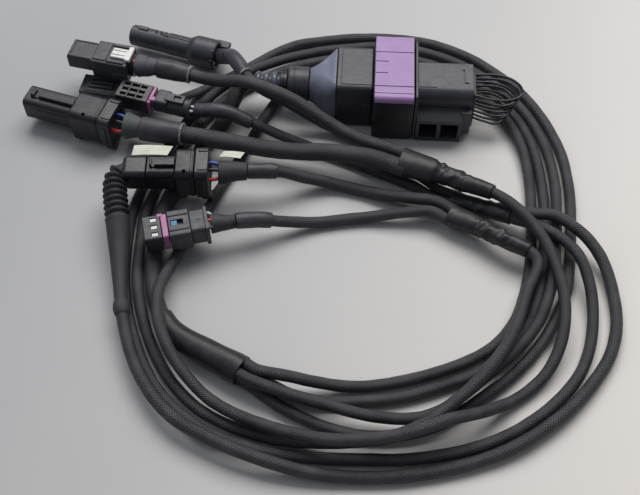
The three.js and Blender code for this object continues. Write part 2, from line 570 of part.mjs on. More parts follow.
// Rectangular plug: block, narrower nose with its mouth, white lock on top and a seal ring behind
function makeUpperPlug() {
  const p = upperPlug;
  const plug = groupAt(upperPlugPlace);
  const bodyStart = p.ringLength + clearance;
  const bodyEnd = bodyStart + p.length;
  const noseEnd = bodyEnd + p.noseLength;
  const noseHeight = p.height / 2 - p.noseHeight / 2;
  const lockSeat = box(bodyStart - 1, bodyStart + 11, -3.4 - clearance, 3.4 + clearance, p.height / 2 - 2, p.height);
  const body = join(bar(bodyStart, bodyEnd, p.width, p.height, 1.2),
    bar(bodyEnd - 1, noseEnd, p.noseWidth, p.noseHeight, 1, 0, noseHeight - 1.2),
    box(bodyStart + 1, bodyStart + 8, -p.width / 2 - 1.4, -p.width / 2 + 1, -p.height / 2 + 2, p.height / 2 - 4));
  const mouth = bar(noseEnd - p.cavity, noseEnd + 1, p.noseWidth - 2 * p.wall, p.noseHeight - 2 * p.wall, 0.8, 0, noseHeight - 1.2);
  piece(plug, "upper_plug_housing", cut(body, lockSeat, mouth), charcoal);
  piece(plug, "upper_plug_lock", join(box(bodyStart, bodyStart + 10.6, -3.4, 3.4, p.height / 2 - 2 + clearance, p.height / 2 + 0.8),
    box(bodyStart, bodyStart + 2, -5.2, 5.2, p.height / 2 + clearance, p.height / 2 + 1.8)), white);
  piece(plug, "upper_plug_seal", rod(0, p.ringLength, p.ringRadius), blackPlastic);
}

// Round plug: barrel with its mouth, collar with a latch tab
function makeBarrelPlug() {
  const p = barrelPlug;
  const plug = groupAt(barrelPlugPlace);
  const barrelStart = p.collarLength + clearance;
  const barrelEnd = barrelStart + p.length;
  const barrel = turned([[barrelStart, 0], [barrelStart, p.radius], [barrelEnd - 1.2, p.radius], [barrelEnd, p.radius - 0.8],
    [barrelEnd, p.radius - p.wall - 0.2], [barrelEnd - p.cavity, p.radius - p.wall - 0.2], [barrelEnd - p.cavity, 0]], 16);
  const notches = [0, 1, 2].map((i) => box(barrelEnd - 17 - i * 3.2, barrelEnd - 15.4 - i * 3.2, -p.radius - 1, -p.radius + 1.2, -1, 4));
  const bump = box(barrelEnd - 11, barrelEnd - 7, -1.4, 1.4, p.radius - 1, p.radius + 1.2);
  piece(plug, "barrel_plug_barrel", cut(join(barrel, bump), ...notches), charcoal);
  const collar = turned([[0, 0], [0, p.collarRadius - 1], [2, p.collarRadius], [p.collarLength - 4, p.collarRadius],
    [p.collarLength, p.radius + 0.6], [p.collarLength, 0]], 16);
  const hollow = turned([[-1, 0], [-1, p.collarRadius - 2.2], [4, p.collarRadius - 2.2], [4, 0]], 16);
  const tab = box(-4, 3, -6.6, -3.2, 3.2, 5.4);
  piece(plug, "barrel_plug_collar", join(cut(collar, hollow), tab), charcoal);
}

// Flat plug under the rectangular one: block with its mouth and two ribbed plates on top
function makeFlatPlug() {
  const p = flatPlug;
  const plug = groupAt(flatPlugPlace);
  const body = join(bar(0.3, p.length, p.width, p.height - 2, 1),
    box(3, p.length - 3, -p.width / 2 + 1, p.width / 2 - 1, p.height / 2 - 1.6, p.height / 2 - 0.4),
    box(6, p.length - 5, -p.width / 2 + 3.4, p.width / 2 - 3.4, p.height / 2 - 1, p.height / 2 - 0.4 + p.plate));
  const mouth = bar(p.length - p.cavity, p.length + 1, p.width - 2 * p.wall, p.height - 2 - 2 * p.wall, 0.8);
  piece(plug, "flat_plug_housing", cut(body, mouth), blackPlastic);
}

// Slotted plug: front housing with slots along its top, coloured lock, round rear body with a latch, seal ring
function makeSlottedPlug() {
  const p = slottedPlug;
  const plug = groupAt(slottedPlugPlace);
  const bodyStart = p.ringLength + clearance;
  const lockStart = bodyStart + p.bodyLength + clearance;
  const frontStart = lockStart + p.lockLength + clearance;
  const frontEnd = frontStart + p.length;
  const slots = [];
  const pitch = p.width / (p.slots + 0.5);
  for (let i = 0; i < p.slots; i += 1) {
    const y = (i - (p.slots - 1) / 2) * pitch;
    slots.push(box(frontStart + 2, frontEnd - 2, y - pitch * 0.28, y + pitch * 0.28, p.height / 2 - 1.4, p.height));
  }
  const mouth = box(frontEnd - 8, frontEnd + 1, -p.width / 2 + 1.6, p.width / 2 - 1.6, -p.height / 2 + 1.6, p.height / 2 - 2.8);
  piece(plug, "slotted_plug_housing", cut(bar(frontStart, frontEnd, p.width, p.height, 1), mouth, ...slots), blackPlastic);
  piece(plug, "slotted_plug_lock", bar(lockStart, lockStart + p.lockLength, p.width - 0.6, p.height - 0.6, 1), purple);
  piece(plug, "slotted_plug_body", join(rod(0.5, lockStart - clearance, p.bodyRadius), rod(0, p.ringLength, p.ringRadius),
    box(bodyStart + 1, bodyStart + 12, -3, 3, p.bodyRadius - 1.5, p.bodyRadius + 1.3)), charcoal);
}

// Three-way plug: front housing with three windows, lock, collar with its latch window, rear body
function makeThreeWayPlug() {
  const p = threeWayPlug;
  const plug = groupAt(threeWayPlugPlace);
  const collarStart = p.bodyLength + clearance;
  const lockStart = collarStart + p.collarLength + clearance;
  const frontStart = lockStart + p.lockLength + clearance;
  const frontEnd = frontStart + p.length;
  const windows = [-1, 0, 1].map((i) => box(frontEnd - p.windowDepth, frontEnd + 1,
    i * (p.window + 0.6) - p.window / 2, i * (p.window + 0.6) + p.window / 2, -p.window / 2, p.window / 2));
  piece(plug, "three_way_housing", cut(bar(frontStart, frontEnd, p.width, p.height, 1), ...windows), charcoal);
  piece(plug, "three_way_lock", bar(lockStart, lockStart + p.lockLength, p.width - 0.8, p.height - 0.4, 1), purple);
  const latchWindow = box(collarStart + 3, collarStart + p.collarLength - 2, -2.6, 2.6, p.collarHeight / 2 - 2, p.collarHeight);
  piece(plug, "three_way_collar", cut(bar(collarStart, lockStart - clearance, p.collarWidth, p.collarHeight, 1.6), latchWindow), charcoal);
  piece(plug, "three_way_body", join(bar(1.5, p.bodyLength, p.bodyWidth, p.bodyHeight, 2),
    bar(0, 2.4, p.bodyWidth + 1.4, p.bodyHeight + 1.2, 2)), blackPlastic);
}

makeUpperPlug();
makeBarrelPlug();
makeFlatPlug();
makeSlottedPlug();
makeThreeWayPlug();

// The main connector, from its own base centre: +x towards the plug half, -y towards the pockets
const main = groupAt({ at: [...mainPlace, 0], heading: mainTurn });
const socketStart = -socketSize.length / 2;
const socketEnd = socketSize.length / 2;
const coverEnd = socketStart - clearance;
const coverStart = coverEnd - coverSize.length;
const flangeStart = socketEnd + clearance;
const plugStart = flangeStart + flangeSize.length + clearance;
const plugEnd = plugStart + plugSize.length;

function makeMainHalves() {
  const railY = lockSize.length / 2 - lockSize.railWidth / 2 - 1;
  const top = socketSize.height;
  const half = socketSize.width / 2;
  const socket = bar(socketStart, socketEnd, socketSize.width, top, 1.5, 0, top / 2);
  const grooves = [-1, 1].map((side) => box(side * railY - lockSize.railWidth / 2 - clearance,
    side * railY + lockSize.railWidth / 2 + clearance, -half - 1, half + 1, top - lockSize.railDepth - clearance, top + 1));
  piece(main, "main_socket_housing", cut(socket, ...grooves), blackPlastic);
  const lockBottom = top + clearance;
  const lockTop = lockBottom + lockSize.thickness;
  const lipFront = -half - clearance - lockSize.thickness;
  const lockBack = lipFront + lockSize.width;
  const halfLength = lockSize.length / 2;
  const rails = [-1, 1].map((side) => box(side * railY - lockSize.railWidth / 2, side * railY + lockSize.railWidth / 2,
    -half + lockSize.railDepth, lockBack - lockSize.railDepth, top - lockSize.railDepth, lockTop - 1));
  const lip = bar(-halfLength, halfLength, lockSize.thickness, lockSize.lip + lockSize.thickness, 1,
    lipFront + lockSize.thickness / 2, lockTop - (lockSize.lip + lockSize.thickness) / 2);
  const gripLines = [0.3, 0.47, 0.64, 0.82, 0.92].map((share) => {
    const y = lockBack - share * lockSize.width;
    return box(-halfLength - 1, halfLength + 1, y - 0.25, y + 0.25, lockTop - 0.4, lockTop + 1);
  });
  piece(main, "main_slide_lock", cut(join(
    box(-halfLength, halfLength, lipFront + 1, lockBack, lockBottom, lockTop), lip, ...rails), ...gripLines), purple);
  piece(main, "main_rear_cover", bar(coverStart, coverEnd, coverSize.width, coverSize.height, 2.5,
    coverSize.middle, coverSize.height / 2), charcoal);
  piece(main, "main_flange", bar(flangeStart, flangeStart + flangeSize.length, flangeSize.width, flangeSize.height, 2,
    0, flangeSize.height / 2), charcoal);
}

// Plug half: rounded nose along its front, a lower block with the two mating pockets, a tab beside them
function makePlugHalf() {
  const p = plugSize;
  const backY = p.middle + p.width / 2;
  const frontY = p.middle - p.width / 2;
  const outline = new THREE.Shape();
  outline.moveTo(backY, 0);
  outline.lineTo(backY, p.height);
  outline.lineTo(frontY + p.noseRadius, p.height);
  outline.absarc(frontY + p.noseRadius, p.height - p.noseRadius, p.noseRadius, Math.PI / 2, Math.PI);
  outline.lineTo(frontY, pocketBlock.height + 3);
  outline.lineTo(frontY - pocketBlock.depth, pocketBlock.height);
  outline.lineTo(frontY - pocketBlock.depth, 0);
  const whole = new THREE.ExtrudeGeometry(outline, { depth: p.length, bevelEnabled: false, curveSegments: 5 });
  whole.applyMatrix4(new THREE.Matrix4().makeBasis(
    new THREE.Vector3(0, 1, 0), new THREE.Vector3(0, 0, 1), new THREE.Vector3(1, 0, 0)));
  whole.translate(plugStart, 0, 0);
  const pocketFront = frontY - pocketBlock.depth;
  const besidePockets = box(plugStart + pocketBlock.length, plugEnd + 1, pocketFront - 1, frontY, -1, 40);
  const tab = box(plugStart + pocketBlock.length - 0.5, plugEnd, frontY - 4, frontY + 1, 4, 20);
  const firstPocket = plugStart + (pocketBlock.length - 2 * pocketSize.width - pocketSize.rib) / 2;
  const pockets = [0, 1].map((i) => {
    const x = firstPocket + i * (pocketSize.width + pocketSize.rib);
    return box(x, x + pocketSize.width, pocketFront - 1, pocketFront + pocketSize.depth,
      pocketSize.floor, pocketSize.floor + pocketSize.height);
  });
  piece(main, "main_plug_housing", cut(join(cut(whole, besidePockets), tab), ...pockets), charcoal);
}

// Grommet plate in the plug half's end with the jumper wires that leave it and loop back into it
function makeJumpers() {
  const plateStart = plugEnd + clearance;
  const plateEnd = plateStart + jumper.plate;
  const section = new THREE.Shape();
  section.absarc(0, 0, jumper.radius, 0, 2 * Math.PI);
  const loops = [];
  for (let i = 0; i < jumper.count; i += 1) {
    const spread = i / (jumper.count - 1);
    const reach = jumper.reach - 8 * spread;
    const high = 25 - 1.25 * i;
    const back = 5.6 - 1.35 * i;
    const line = new THREE.CatmullRomCurve3([
      [plateEnd - 1, back, high], [plateEnd + reach * 0.4, back - 0.4, high + 0.6],
      [plateEnd + reach * 0.85, back - 4, high - 1], [plateEnd + reach, back - 8, high - 3.4],
      [plateEnd + reach * 0.8, back - 12, high - 5.6], [plateEnd + reach * 0.4, back - 13, high - 6],
      [plateEnd - 1, back - 11, high - 5.4],
    ].map((p) => new THREE.Vector3(...p)));
    loops.push(new THREE.ExtrudeGeometry(section, { steps: 16, extrudePath: line, bevelEnabled: false, curveSegments: 3 }));
  }
  const plate = bar(plateStart, plateEnd, plugSize.width - 4, plugSize.height - 6, 1.5, plugSize.middle, plugSize.height / 2);
  piece(main, "main_jumper_wires", join(plate, ...loops), blackPlastic);
}

// Cable outlet: flaring boot, round collar, seal ring and ribbed neck, one behind the other
function makeOutlet() {
  const bootEnd = coverStart - clearance;
  const bootStart = bootEnd - bootSize.length;
  const y = coverSize.middle;
  piece(main, "main_boot", turned([[bootStart, 0], [bootStart, collarSize.radius], [bootStart + 5, collarSize.radius + 1.5],
    [bootEnd - 3, bootSize.radius], [bootEnd, bootSize.radius], [bootEnd, 0]], 16, y, axisHeight), rubber);
  const collarEnd = bootStart - clearance;
  const collarStart = collarEnd - collarSize.length;
  piece(main, "main_collar", turned([[collarStart, 0], [collarStart, collarSize.radius - 1], [collarStart + 1, collarSize.radius],
    [collarEnd, collarSize.radius], [collarEnd, 0]], 16, y, axisHeight), charcoal);
  const ringEnd = collarStart - clearance;
  const neckEnd = ringEnd - ringSize.length;
  const neckStart = neckEnd - neckSize.length;
  const profile = [[neckStart, 0], [neckStart, neckSize.radius - 1]];
  const pitch = neckSize.length / neckSize.ribs;
  for (let i = 0; i < neckSize.ribs; i += 1) {
    const x = neckStart + i * pitch;
    profile.push([x + pitch * 0.2, neckSize.radius], [x + pitch * 0.6, neckSize.radius], [x + pitch * 0.8, neckSize.radius - 1]);
  }
  profile.push([neckEnd, neckSize.radius - 1], [neckEnd, ringSize.radius], [ringEnd, ringSize.radius], [ringEnd, 0]);
  piece(main, "main_neck", turned(profile, roundSides, y, axisHeight), rubber);
}

makeMainHalves();
makePlugHalf();
makeJumpers();
makeOutlet();

export default harness;
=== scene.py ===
import math

import bmesh
import bpy
import numpy as np
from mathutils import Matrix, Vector


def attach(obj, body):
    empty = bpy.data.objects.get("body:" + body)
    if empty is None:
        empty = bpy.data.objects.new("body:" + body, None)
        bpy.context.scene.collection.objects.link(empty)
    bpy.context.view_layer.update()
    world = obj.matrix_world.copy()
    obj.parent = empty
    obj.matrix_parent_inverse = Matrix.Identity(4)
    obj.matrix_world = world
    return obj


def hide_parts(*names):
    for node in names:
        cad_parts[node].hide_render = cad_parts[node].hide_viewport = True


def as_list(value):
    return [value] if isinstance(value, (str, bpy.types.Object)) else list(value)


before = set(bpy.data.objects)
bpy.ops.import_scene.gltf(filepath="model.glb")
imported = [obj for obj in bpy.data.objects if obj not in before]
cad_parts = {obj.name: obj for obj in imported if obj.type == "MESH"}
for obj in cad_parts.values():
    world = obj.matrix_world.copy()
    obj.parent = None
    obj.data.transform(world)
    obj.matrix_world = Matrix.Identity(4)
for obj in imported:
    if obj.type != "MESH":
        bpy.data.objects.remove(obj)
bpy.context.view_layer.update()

# The camera looks down at the coil from the near side of the table, at 56 degrees over the table top. It is
# aimed at the middle of the layout, in which the harness was laid out on the table in millimetres.
main_place = np.array((41.0, 96.0, 0.0))
camera_height = math.radians(56)
camera_distance = 0.530
layout_middle = Vector((-main_place / 1000).tolist())
photo_camera = bpy.data.cameras.new("photo_camera")
photo_camera.lens = 57
photo_camera.sensor_width = 36
camera_stand = bpy.data.objects.new("photo_camera", photo_camera)
camera_stand.location = layout_middle + camera_distance * Vector((0, -math.cos(camera_height),
                                                                  math.sin(camera_height)))
camera_stand.rotation_euler = (math.pi / 2 - camera_height, 0, 0)
bpy.context.scene.collection.objects.link(camera_stand)
bpy.context.scene.camera = camera_stand
bpy.context.scene.view_settings.view_transform = "Standard"

# Cables. Seven leads, three branches, a flat connector's cable and the trunk, all stranded wire in sleeving
# braided from black plastic monofilament. Each is laid on the table along its own route, and where it meets a
# cable that is already there it rides over it in a long low hump.
sample_step = 4.0
hump_reach = 16.0
turn_length = 80.0
joint_reach = 16.0
cable_gap = 0.7
table_gap = 0.05
joint_gap = 0.6
piece_gap = 0.3


def to_part(points):
    return (np.asarray(points, float) - main_place) / 1000


def unit(way):
    way = np.asarray(way, float)
    return way / np.linalg.norm(way)


def smooth_through(points, steps):
    """Points of the smooth curve through the given ones, and the distance gone at each."""
    p = np.array(points, float)
    p = np.vstack([2 * p[0] - p[1], p, 2 * p[-1] - p[-2]])
    t = np.linspace(0, 1, steps, endpoint=False)[:, None]
    runs = []
    for i in range(1, len(p) - 2):
        a = (p[i + 1] - p[i - 1]) / 2
        b = (p[i + 2] - p[i]) / 2
        gap = p[i] - p[i + 1]
        runs.append(p[i] + a * t - (3 * gap + 2 * a + b) * t**2 + (2 * gap + a + b) * t**3)
    curve = np.vstack(runs + [p[-2:-1]])
    gone = np.r_[0, np.cumsum(np.linalg.norm(np.diff(curve, axis=0), axis=1))]
    return curve, gone


def spots_on(line, distances):
    """Places on a line at these distances; before its start and after its end it goes straight on."""
    points, gone = line
    distances = np.atleast_1d(np.asarray(distances, float))
    spots = np.column_stack([np.interp(distances, gone, points[:, k]) for k in range(3)])
    before = np.minimum(distances - gone[0], 0)[:, None] * unit(points[2] - points[0])
    after = np.maximum(distances - gone[-1], 0)[:, None] * unit(points[-1] - points[-3])
    return spots + before + after


def way_at(line, distance):
    ahead, behind = spots_on(line, [distance + 0.6, distance - 0.6])
    return unit(ahead - behind)


laid_names = []
laid_spots = []
trunk_joint = np.array((-37.0, -76.0, 7.6))
joints = [(trunk_joint, ("trunk", "branch_1", "branch_2", "branch_3", "flat"))]


def lay(cable, route, radius_at, start=0.0, start_height=None, end_height=None):
    """Lays a cable on the table and over what lies there. Gives its samples: distance, x, y, z."""
    plan = [list(point) + [0.0] * (3 - len(point)) for point in route]
    if start_height is not None:
        plan[0][2] = 0.0
    if end_height is not None:
        plan[-1][2] = 0.0
    curve = smooth_through(plan, 40)
    length = curve[1][-1]
    count = math.ceil(length / sample_step)
    along = np.linspace(0, length, count + 1)
    spots = spots_on(curve, along)
    radii = np.array([radius_at(a, length) for a in along])
    mine = [joint for joint in joints if cable in joint[1]]
    names = np.array(laid_names)
    under = np.array(laid_spots)
    need = np.maximum(radii + table_gap, spots[:, 2])
    for i in range(count + 1):
        if not len(names):
            break
        meets = [name for at, held in mine if math.dist(spots[i, :2], at[:2]) < joint_reach for name in held]
        same = names == cable
        free = np.where(same, start + along[i] - under[:, 0] >= turn_length, ~np.isin(names, meets))
        apart = radii[i] + under[:, 4] + cable_gap
        away = np.linalg.norm(under[:, 1:3] - spots[i, :2], axis=1)
        close = free & (away < apart)
        if close.any():
            over = under[close, 3] + np.sqrt(apart[close] ** 2 - away[close] ** 2)
            need[i] = max(need[i], over.max())
    spread = round(hump_reach / sample_step)
    near = [slice(max(0, i - spread), i + spread + 1) for i in range(count + 1)]
    lift = np.array([need[part].max() for part in near])
    height = np.array([lift[part].mean() for part in near])
    for pinned, index in ((start_height, 0), (end_height, count)):
        if pinned is not None:
            t = np.maximum(0, 1 - np.abs(np.arange(count + 1) - index) * sample_step / (2 * hump_reach))
            height = height + (pinned - height[index]) * t * t * (3 - 2 * t)
    samples = np.column_stack([start + along, spots[:, :2], height])
    laid_names.extend([cable] * (count + 1))
    laid_spots.extend(np.column_stack([samples, radii]).tolist())
    return samples


def line_of(samples):
    return smooth_through(samples[:, 1:4], 6)


def beside(at, way, across, ahead=0.0):
    """A point to the left of a way and ahead on it."""
    flat = math.hypot(way[0], way[1])
    x, y = way[0] / flat, way[1] / flat
    return [at[0] - y * across + x * ahead, at[1] + x * across + y * ahead, at[2] + way[2] / flat * ahead]


def rings_round(line, along, radii, sides):
    """Corners of rings round a line: a radius for each ring, or for each corner of each ring."""
    along = np.asarray(along, float)
    radii = np.asarray(radii, float)
    radii = radii[:, None] * np.ones(sides) if radii.ndim == 1 else radii
    turn = np.arange(sides) / sides * 2 * math.pi
    centres = spots_on(line, along)
    across = np.cross(way_at(line, along[0]), (0, 0, 1))
    rings = []
    for centre, distance, reach in zip(centres, along, radii):
        way = way_at(line, distance)
        across = unit(across - way * across.dot(way))
        up = np.cross(across, way)
        rings.append(centre + (reach * np.cos(turn))[:, None] * across + (reach * np.sin(turn))[:, None] * up)
    return np.array(rings)


def skinned(rings):
    """A closed skin over rings with the same number of corners: corners and faces, the two caps last."""
    count, sides = rings.shape[:2]
    grid = np.arange(count * sides).reshape(count, sides)
    right = np.roll(grid, -1, axis=1)
    faces = np.stack([grid[:-1], right[:-1], right[1:], grid[1:]], axis=-1).reshape(-1, 4).tolist()
    faces.append(grid[0][::-1].tolist())
    faces.append(grid[-1].tolist())
    return rings.reshape(-1, 3), faces


def turn_outwards(mesh):
    sewn = bmesh.new()
    sewn.from_mesh(mesh)
    bmesh.ops.recalc_face_normals(sewn, faces=sewn.faces)
    sewn.to_mesh(mesh)
    sewn.free()


def make_piece(name, shapes, finishes, instead_of=(), body="harness", smooth=35, weave=None):
    """One piece of the harness from closed shapes in part metres, each with the number of its finish."""
    corners = []
    faces = []
    numbers = []
    for shape in shapes:
        first = sum(len(part) for part in corners)
        corners.append(np.asarray(shape[0], float))
        faces.extend([[first + i for i in face] for face in shape[1]])
        numbers.extend([shape[2] if len(shape) > 2 else 0] * len(shape[1]))
    mesh = bpy.data.meshes.new(name)
    mesh.from_pydata(np.vstack(corners).tolist(), [], faces)
    for finish in finishes:
        mesh.materials.append(finish)
    mesh.polygons.foreach_set("material_index", numbers)
    if weave is not None:
        layer = mesh.uv_layers.new(name="weave")
        layer.data.foreach_set("uv", weave.ravel())
    turn_outwards(mesh)
    mesh.polygons.foreach_set("use_smooth", [True] * len(mesh.polygons))
    mesh.set_sharp_from_angle(angle=math.radians(smooth))
    piece = bpy.data.objects.new(name, mesh)
    bpy.context.scene.collection.objects.link(piece)
    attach(piece, body)
    if weave is None:
        even = piece.modifiers.new("even_shading", "WEIGHTED_NORMAL")
        even.keep_sharp = True
        even.weight = 50
    if instead_of:
        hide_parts(*instead_of)
    return piece


def start_finish(name, roughness=0.5, specular=0.5):
    finish = bpy.data.materials.new(name)
    finish.use_nodes = True
    shader = finish.node_tree.nodes["Principled BSDF"]
    shader.inputs["Roughness"].default_value = roughness
    shader.inputs["Specular IOR Level"].default_value = specular
    return finish


def add_node(finish, kind):
    return finish.node_tree.nodes.new("ShaderNode" + kind)


def join(finish, source, socket):
    """Joins a node's output to a socket, or to the shader's socket of that name."""
    if isinstance(socket, str):
        socket = finish.node_tree.nodes["Principled BSDF"].inputs[socket]
    finish.node_tree.links.new(source, socket)


def mottle(finish, size, detail=3.0, stretch=(1, 1, 1)):
    """Noise fixed to the piece, with spots of about this size in metres."""
    place = add_node(finish, "TexCoord")
    scaled = add_node(finish, "Mapping")
    scaled.inputs["Scale"].default_value = [s / size for s in stretch]
    join(finish, place.outputs["Object"], scaled.inputs["Vector"])
    noise = add_node(finish, "TexNoise")
    noise.inputs["Scale"].default_value = 1.0
    noise.inputs["Detail"].default_value = detail
    join(finish, scaled.outputs["Vector"], noise.inputs["Vector"])
    return noise.outputs["Fac"]


noise_low = 0.3
noise_high = 0.7


def between(finish, amount, low, high):
    """A number that goes from low to high where the amount goes through the usual range of the noise."""
    ranged = add_node(finish, "MapRange")
    for socket, value in (("From Min", noise_low), ("From Max", noise_high), ("To Min", low),
                          ("To Max", high)):
        ranged.inputs[socket].default_value = value
    join(finish, amount, ranged.inputs["Value"])
    return ranged.outputs["Result"]


def shades(finish, amount, *colours):
    """A colour ramp over the amount, evenly spaced over the usual range of the noise."""
    ramp = add_node(finish, "ValToRGB")
    for i, colour in enumerate(colours):
        at = noise_low + (noise_high - noise_low) * i / (len(colours) - 1)
        stop = ramp.color_ramp.elements[i] if i < 2 else ramp.color_ramp.elements.new(at)
        stop.position = at
        stop.color = (*colour, 1)
    join(finish, amount, ramp.inputs["Fac"])
    return ramp.outputs["Color"]


def coat(finish, tone, colours, gloss, low, high):
    """Colours a finish by one noise, and takes its roughness from low to high by another."""
    join(finish, shades(finish, tone, *colours), "Base Color")
    join(finish, between(finish, gloss, low, high), "Roughness")


def raise_surface(finish, height, depth, strength=1.0):
    bump = add_node(finish, "Bump")
    bump.inputs["Distance"].default_value = depth
    bump.inputs["Strength"].default_value = strength
    join(finish, height, bump.inputs["Height"])
    join(finish, bump.outputs["Normal"], "Normal")


def reckon(finish, operation, *terms):
    result = add_node(finish, "Math")
    result.operation = operation
    for socket, term in zip(result.inputs, terms):
        if isinstance(term, (int, float)):
            socket.default_value = term
        else:
            join(finish, term, socket)
    return result.outputs[0]


def blend(finish, first, first_share, second, second_share):
    return reckon(finish, "ADD", reckon(finish, "MULTIPLY", first, first_share),
                  reckon(finish, "MULTIPLY", second, second_share))


def split_place(finish, kind, output):
    """The separate coordinates of a piece's place or weave."""
    place = add_node(finish, kind)
    parts = add_node(finish, "SeparateXYZ")
    join(finish, place.outputs[output], parts.inputs[0])
    return place, parts.outputs


def braided_sleeving():
    """Two sets of helical strands of black monofilament that go over and under each other. Its colour carries
    painted light: lighter strand tops, shaded gaps and glints.
    """
    finish = start_finish("braided_sleeving")
    weave, (along, around, _) = split_place(finish, "UVMap", "UV")
    weave.uv_map = "weave"
    ways = ("ADD", "SUBTRACT")
    waves = [reckon(finish, "SINE", reckon(finish, "MULTIPLY", reckon(finish, way, along, around), math.pi))
             for way in ways]
    over = reckon(finish, "MULTIPLY", reckon(finish, "MULTIPLY", *waves), 0.3)
    sets = [reckon(finish, "MULTIPLY", reckon(finish, "ABSOLUTE", wave), reckon(finish, way, 0.7, over))
            for wave, way in zip(waves, ways)]
    strands = reckon(finish, "MAXIMUM", *sets)
    wear = mottle(finish, 0.009, 4)
    painted_glint_spots = mottle(finish, 0.0011, 2)
    # Painted light: the strands' height makes their tops lighter as a painted highlight and the gaps between
    # them darker as painted shade, and the glint spots are painted glints. The wear noise is the sleeving's
    # own uneven tone.
    braid_tone_with_painted_light = reckon(finish, "ADD", blend(finish, strands, 0.34, wear, 0.35),
                   reckon(finish, "MULTIPLY", painted_glint_spots, 0.22))
    coat(finish, braid_tone_with_painted_light, [(0.010, 0.010, 0.012), (0.030, 0.030, 0.035), (0.082, 0.081, 0.090)], painted_glint_spots, 0.36,
         0.60)
    raise_surface(finish, strands, 0.00030)
    return finish


sleeving = braided_sleeving()
strand_pitch = 1.5


def sleeve(name, line, begin, end, radius, node, exit_at, seed):
    """The braided sleeving of a cable between two distances of its line. The point at exit_at, where it
    leaves its splice, is worked out but not used.
    """
    sides = 20
    count = max(8, round((end - begin) / 1.8))
    along = np.linspace(begin, end, count + 1)
    phase = np.random.default_rng(seed).uniform(0, 2 * math.pi, 4)
    swell = sum(np.sin(along * pitch + turn) for pitch, turn in zip((0.11, 0.23, 0.41, 0.67), phase))
    rings = rings_round(line, along, radius * (1 + 0.010 * swell), sides)
    corners, faces = skinned(rings)
    strands = 2 * round(math.pi * radius / strand_pitch)
    u = along / (2 * math.pi * radius / strands)
    v = np.arange(sides + 1) / sides * strands
    low, high = u[:-1, None], u[1:, None]
    ones = np.ones((count, sides))
    sides_of_face = ((low, v[:-1]), (low, v[1:]), (high, v[1:]), (high, v[:-1]))
    weave = np.stack([np.stack([a * ones, b * ones], -1) for a, b in sides_of_face], 2).reshape(-1, 2)
    weave = np.vstack([weave, np.zeros((2 * sides, 2))])
    cable = make_piece(name, [(to_part(corners), faces)], [sleeving], (node,), weave=weave,
                       smooth=60)
    leaves_at = to_part(spots_on(line, exit_at)[0])
    to_part(spots_on(line, along))


def declare_cable(name, pieces=()):
    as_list(pieces)


# Branches and flat cable. Four cables leave the trunk splice two over two and run round the coil. Branch 1
# ends in the top splice, branch 2 in the near one and branch 3 in the middle one, each after a second turn.
branch_radius = 2.9
trunk_radius = 4.2
trunk_heading = math.radians(-31)
top_splice = {"length": 52, "single": 4.3, "joined": 7.4}
middle_splice = {"length": 34, "single": 4.9, "joined": 4.9}
near_splice = {"length": 46, "single": 4.4, "joined": 5.8}
trunk_splice = {"length": 52, "single": 5.6, "joined": 7.5}
trunk_route = [
    (-37.4, 102.1, 16), (-43.5, 100.4), (-48.5, 93.5), (-53, 84.5), (-58.5, 75), (-64.5, 65), (-70, 53),
    (-76.5, 40), (-82, 24), (-85, 8), (-85.5, -8), (-84.5, -24), (-81, -38), (-75, -50), (-67, -58),
    (-54, -66), (-45.5, -71),
]
branch_1_first = [
    (-22, -78.6, 9.4), (-13, -80.2, 7.5), (-3, -81.4), (14, -82.3), (34, -80), (54, -75), (72, -68),
    (86, -59), (96.5, -46), (103, -31), (107.5, -14), (110.5, 4), (112.5, 22), (113.5, 43), (112, 63),
    (107, 80), (98, 95), (86, 107), (72, 117), (57, 123.5), (40, 125.5), (22, 124.5), (4, 121), (-11, 115),
    (-21, 106), (-27, 96), (-32, 86), (-37, 74), (-43, 60), (-49, 47), (-55, 34), (-61, 20), (-67.5, 6),
    (-74, -10),
]
branch_1_second = [
    (-74, -10), (-78, -24), (-79.5, -38), (-78, -52), (-73, -65), (-66, -76), (-56, -87), (-44, -96),
    (-30, -103), (-14, -109), (4, -113.5), (22, -114.5), (40, -112), (57, -106), (72, -100), (86, -92.5),
    (99, -84), (109, -74.5), (116, -62), (119.5, -48), (120, -34), (118, -20), (114.5, -8), (109.5, 2),
    (103, 11), (96, 18.5), (89, 24, 14), (78, 29.5, 15), (66, 35.5, 15.5), (54, 40.5, 16), (43, 45, 16),
]
branch_2_first = [
    (-23, -81.4), (-14, -86), (0, -89.5), (19, -89.5), (38, -87.5), (57, -82), (76, -74.5), (91, -64),
    (102.5, -49), (110, -32), (114.5, -14), (117.5, 4), (119.5, 22), (120, 43), (118.5, 63), (113, 82),
    (103, 99), (90, 113), (75, 123.5), (58, 131), (40, 134), (20, 133.5), (0, 131), (-19, 124.5), (-37, 114),
    (-53, 101.5), (-64.5, 87.5), (-73.5, 71), (-81, 54), (-88.3, 36), (-92.8, 18), (-93.6, 0),
]
branch_2_second = [
    (-93.6, 0), (-93, -18), (-90, -36), (-85.3, -52), (-79, -66), (-71, -79), (-60, -91), (-47, -99.5),
    (-32, -105.5), (-15, -109.5), (2, -111.5), (18, -112), (34, -110.5), (50, -104), (62, -95), (72, -86),
    (81, -76), (88.5, -66), (94.5, -54.5), (99.7, -42), (103.8, -31), (107.9, -23.5), (110.2, -16.8, 9),
    (107.4, -10.9, 11), (96, -4, 11), (82, 6.5), (68, 15.5, 8),
]
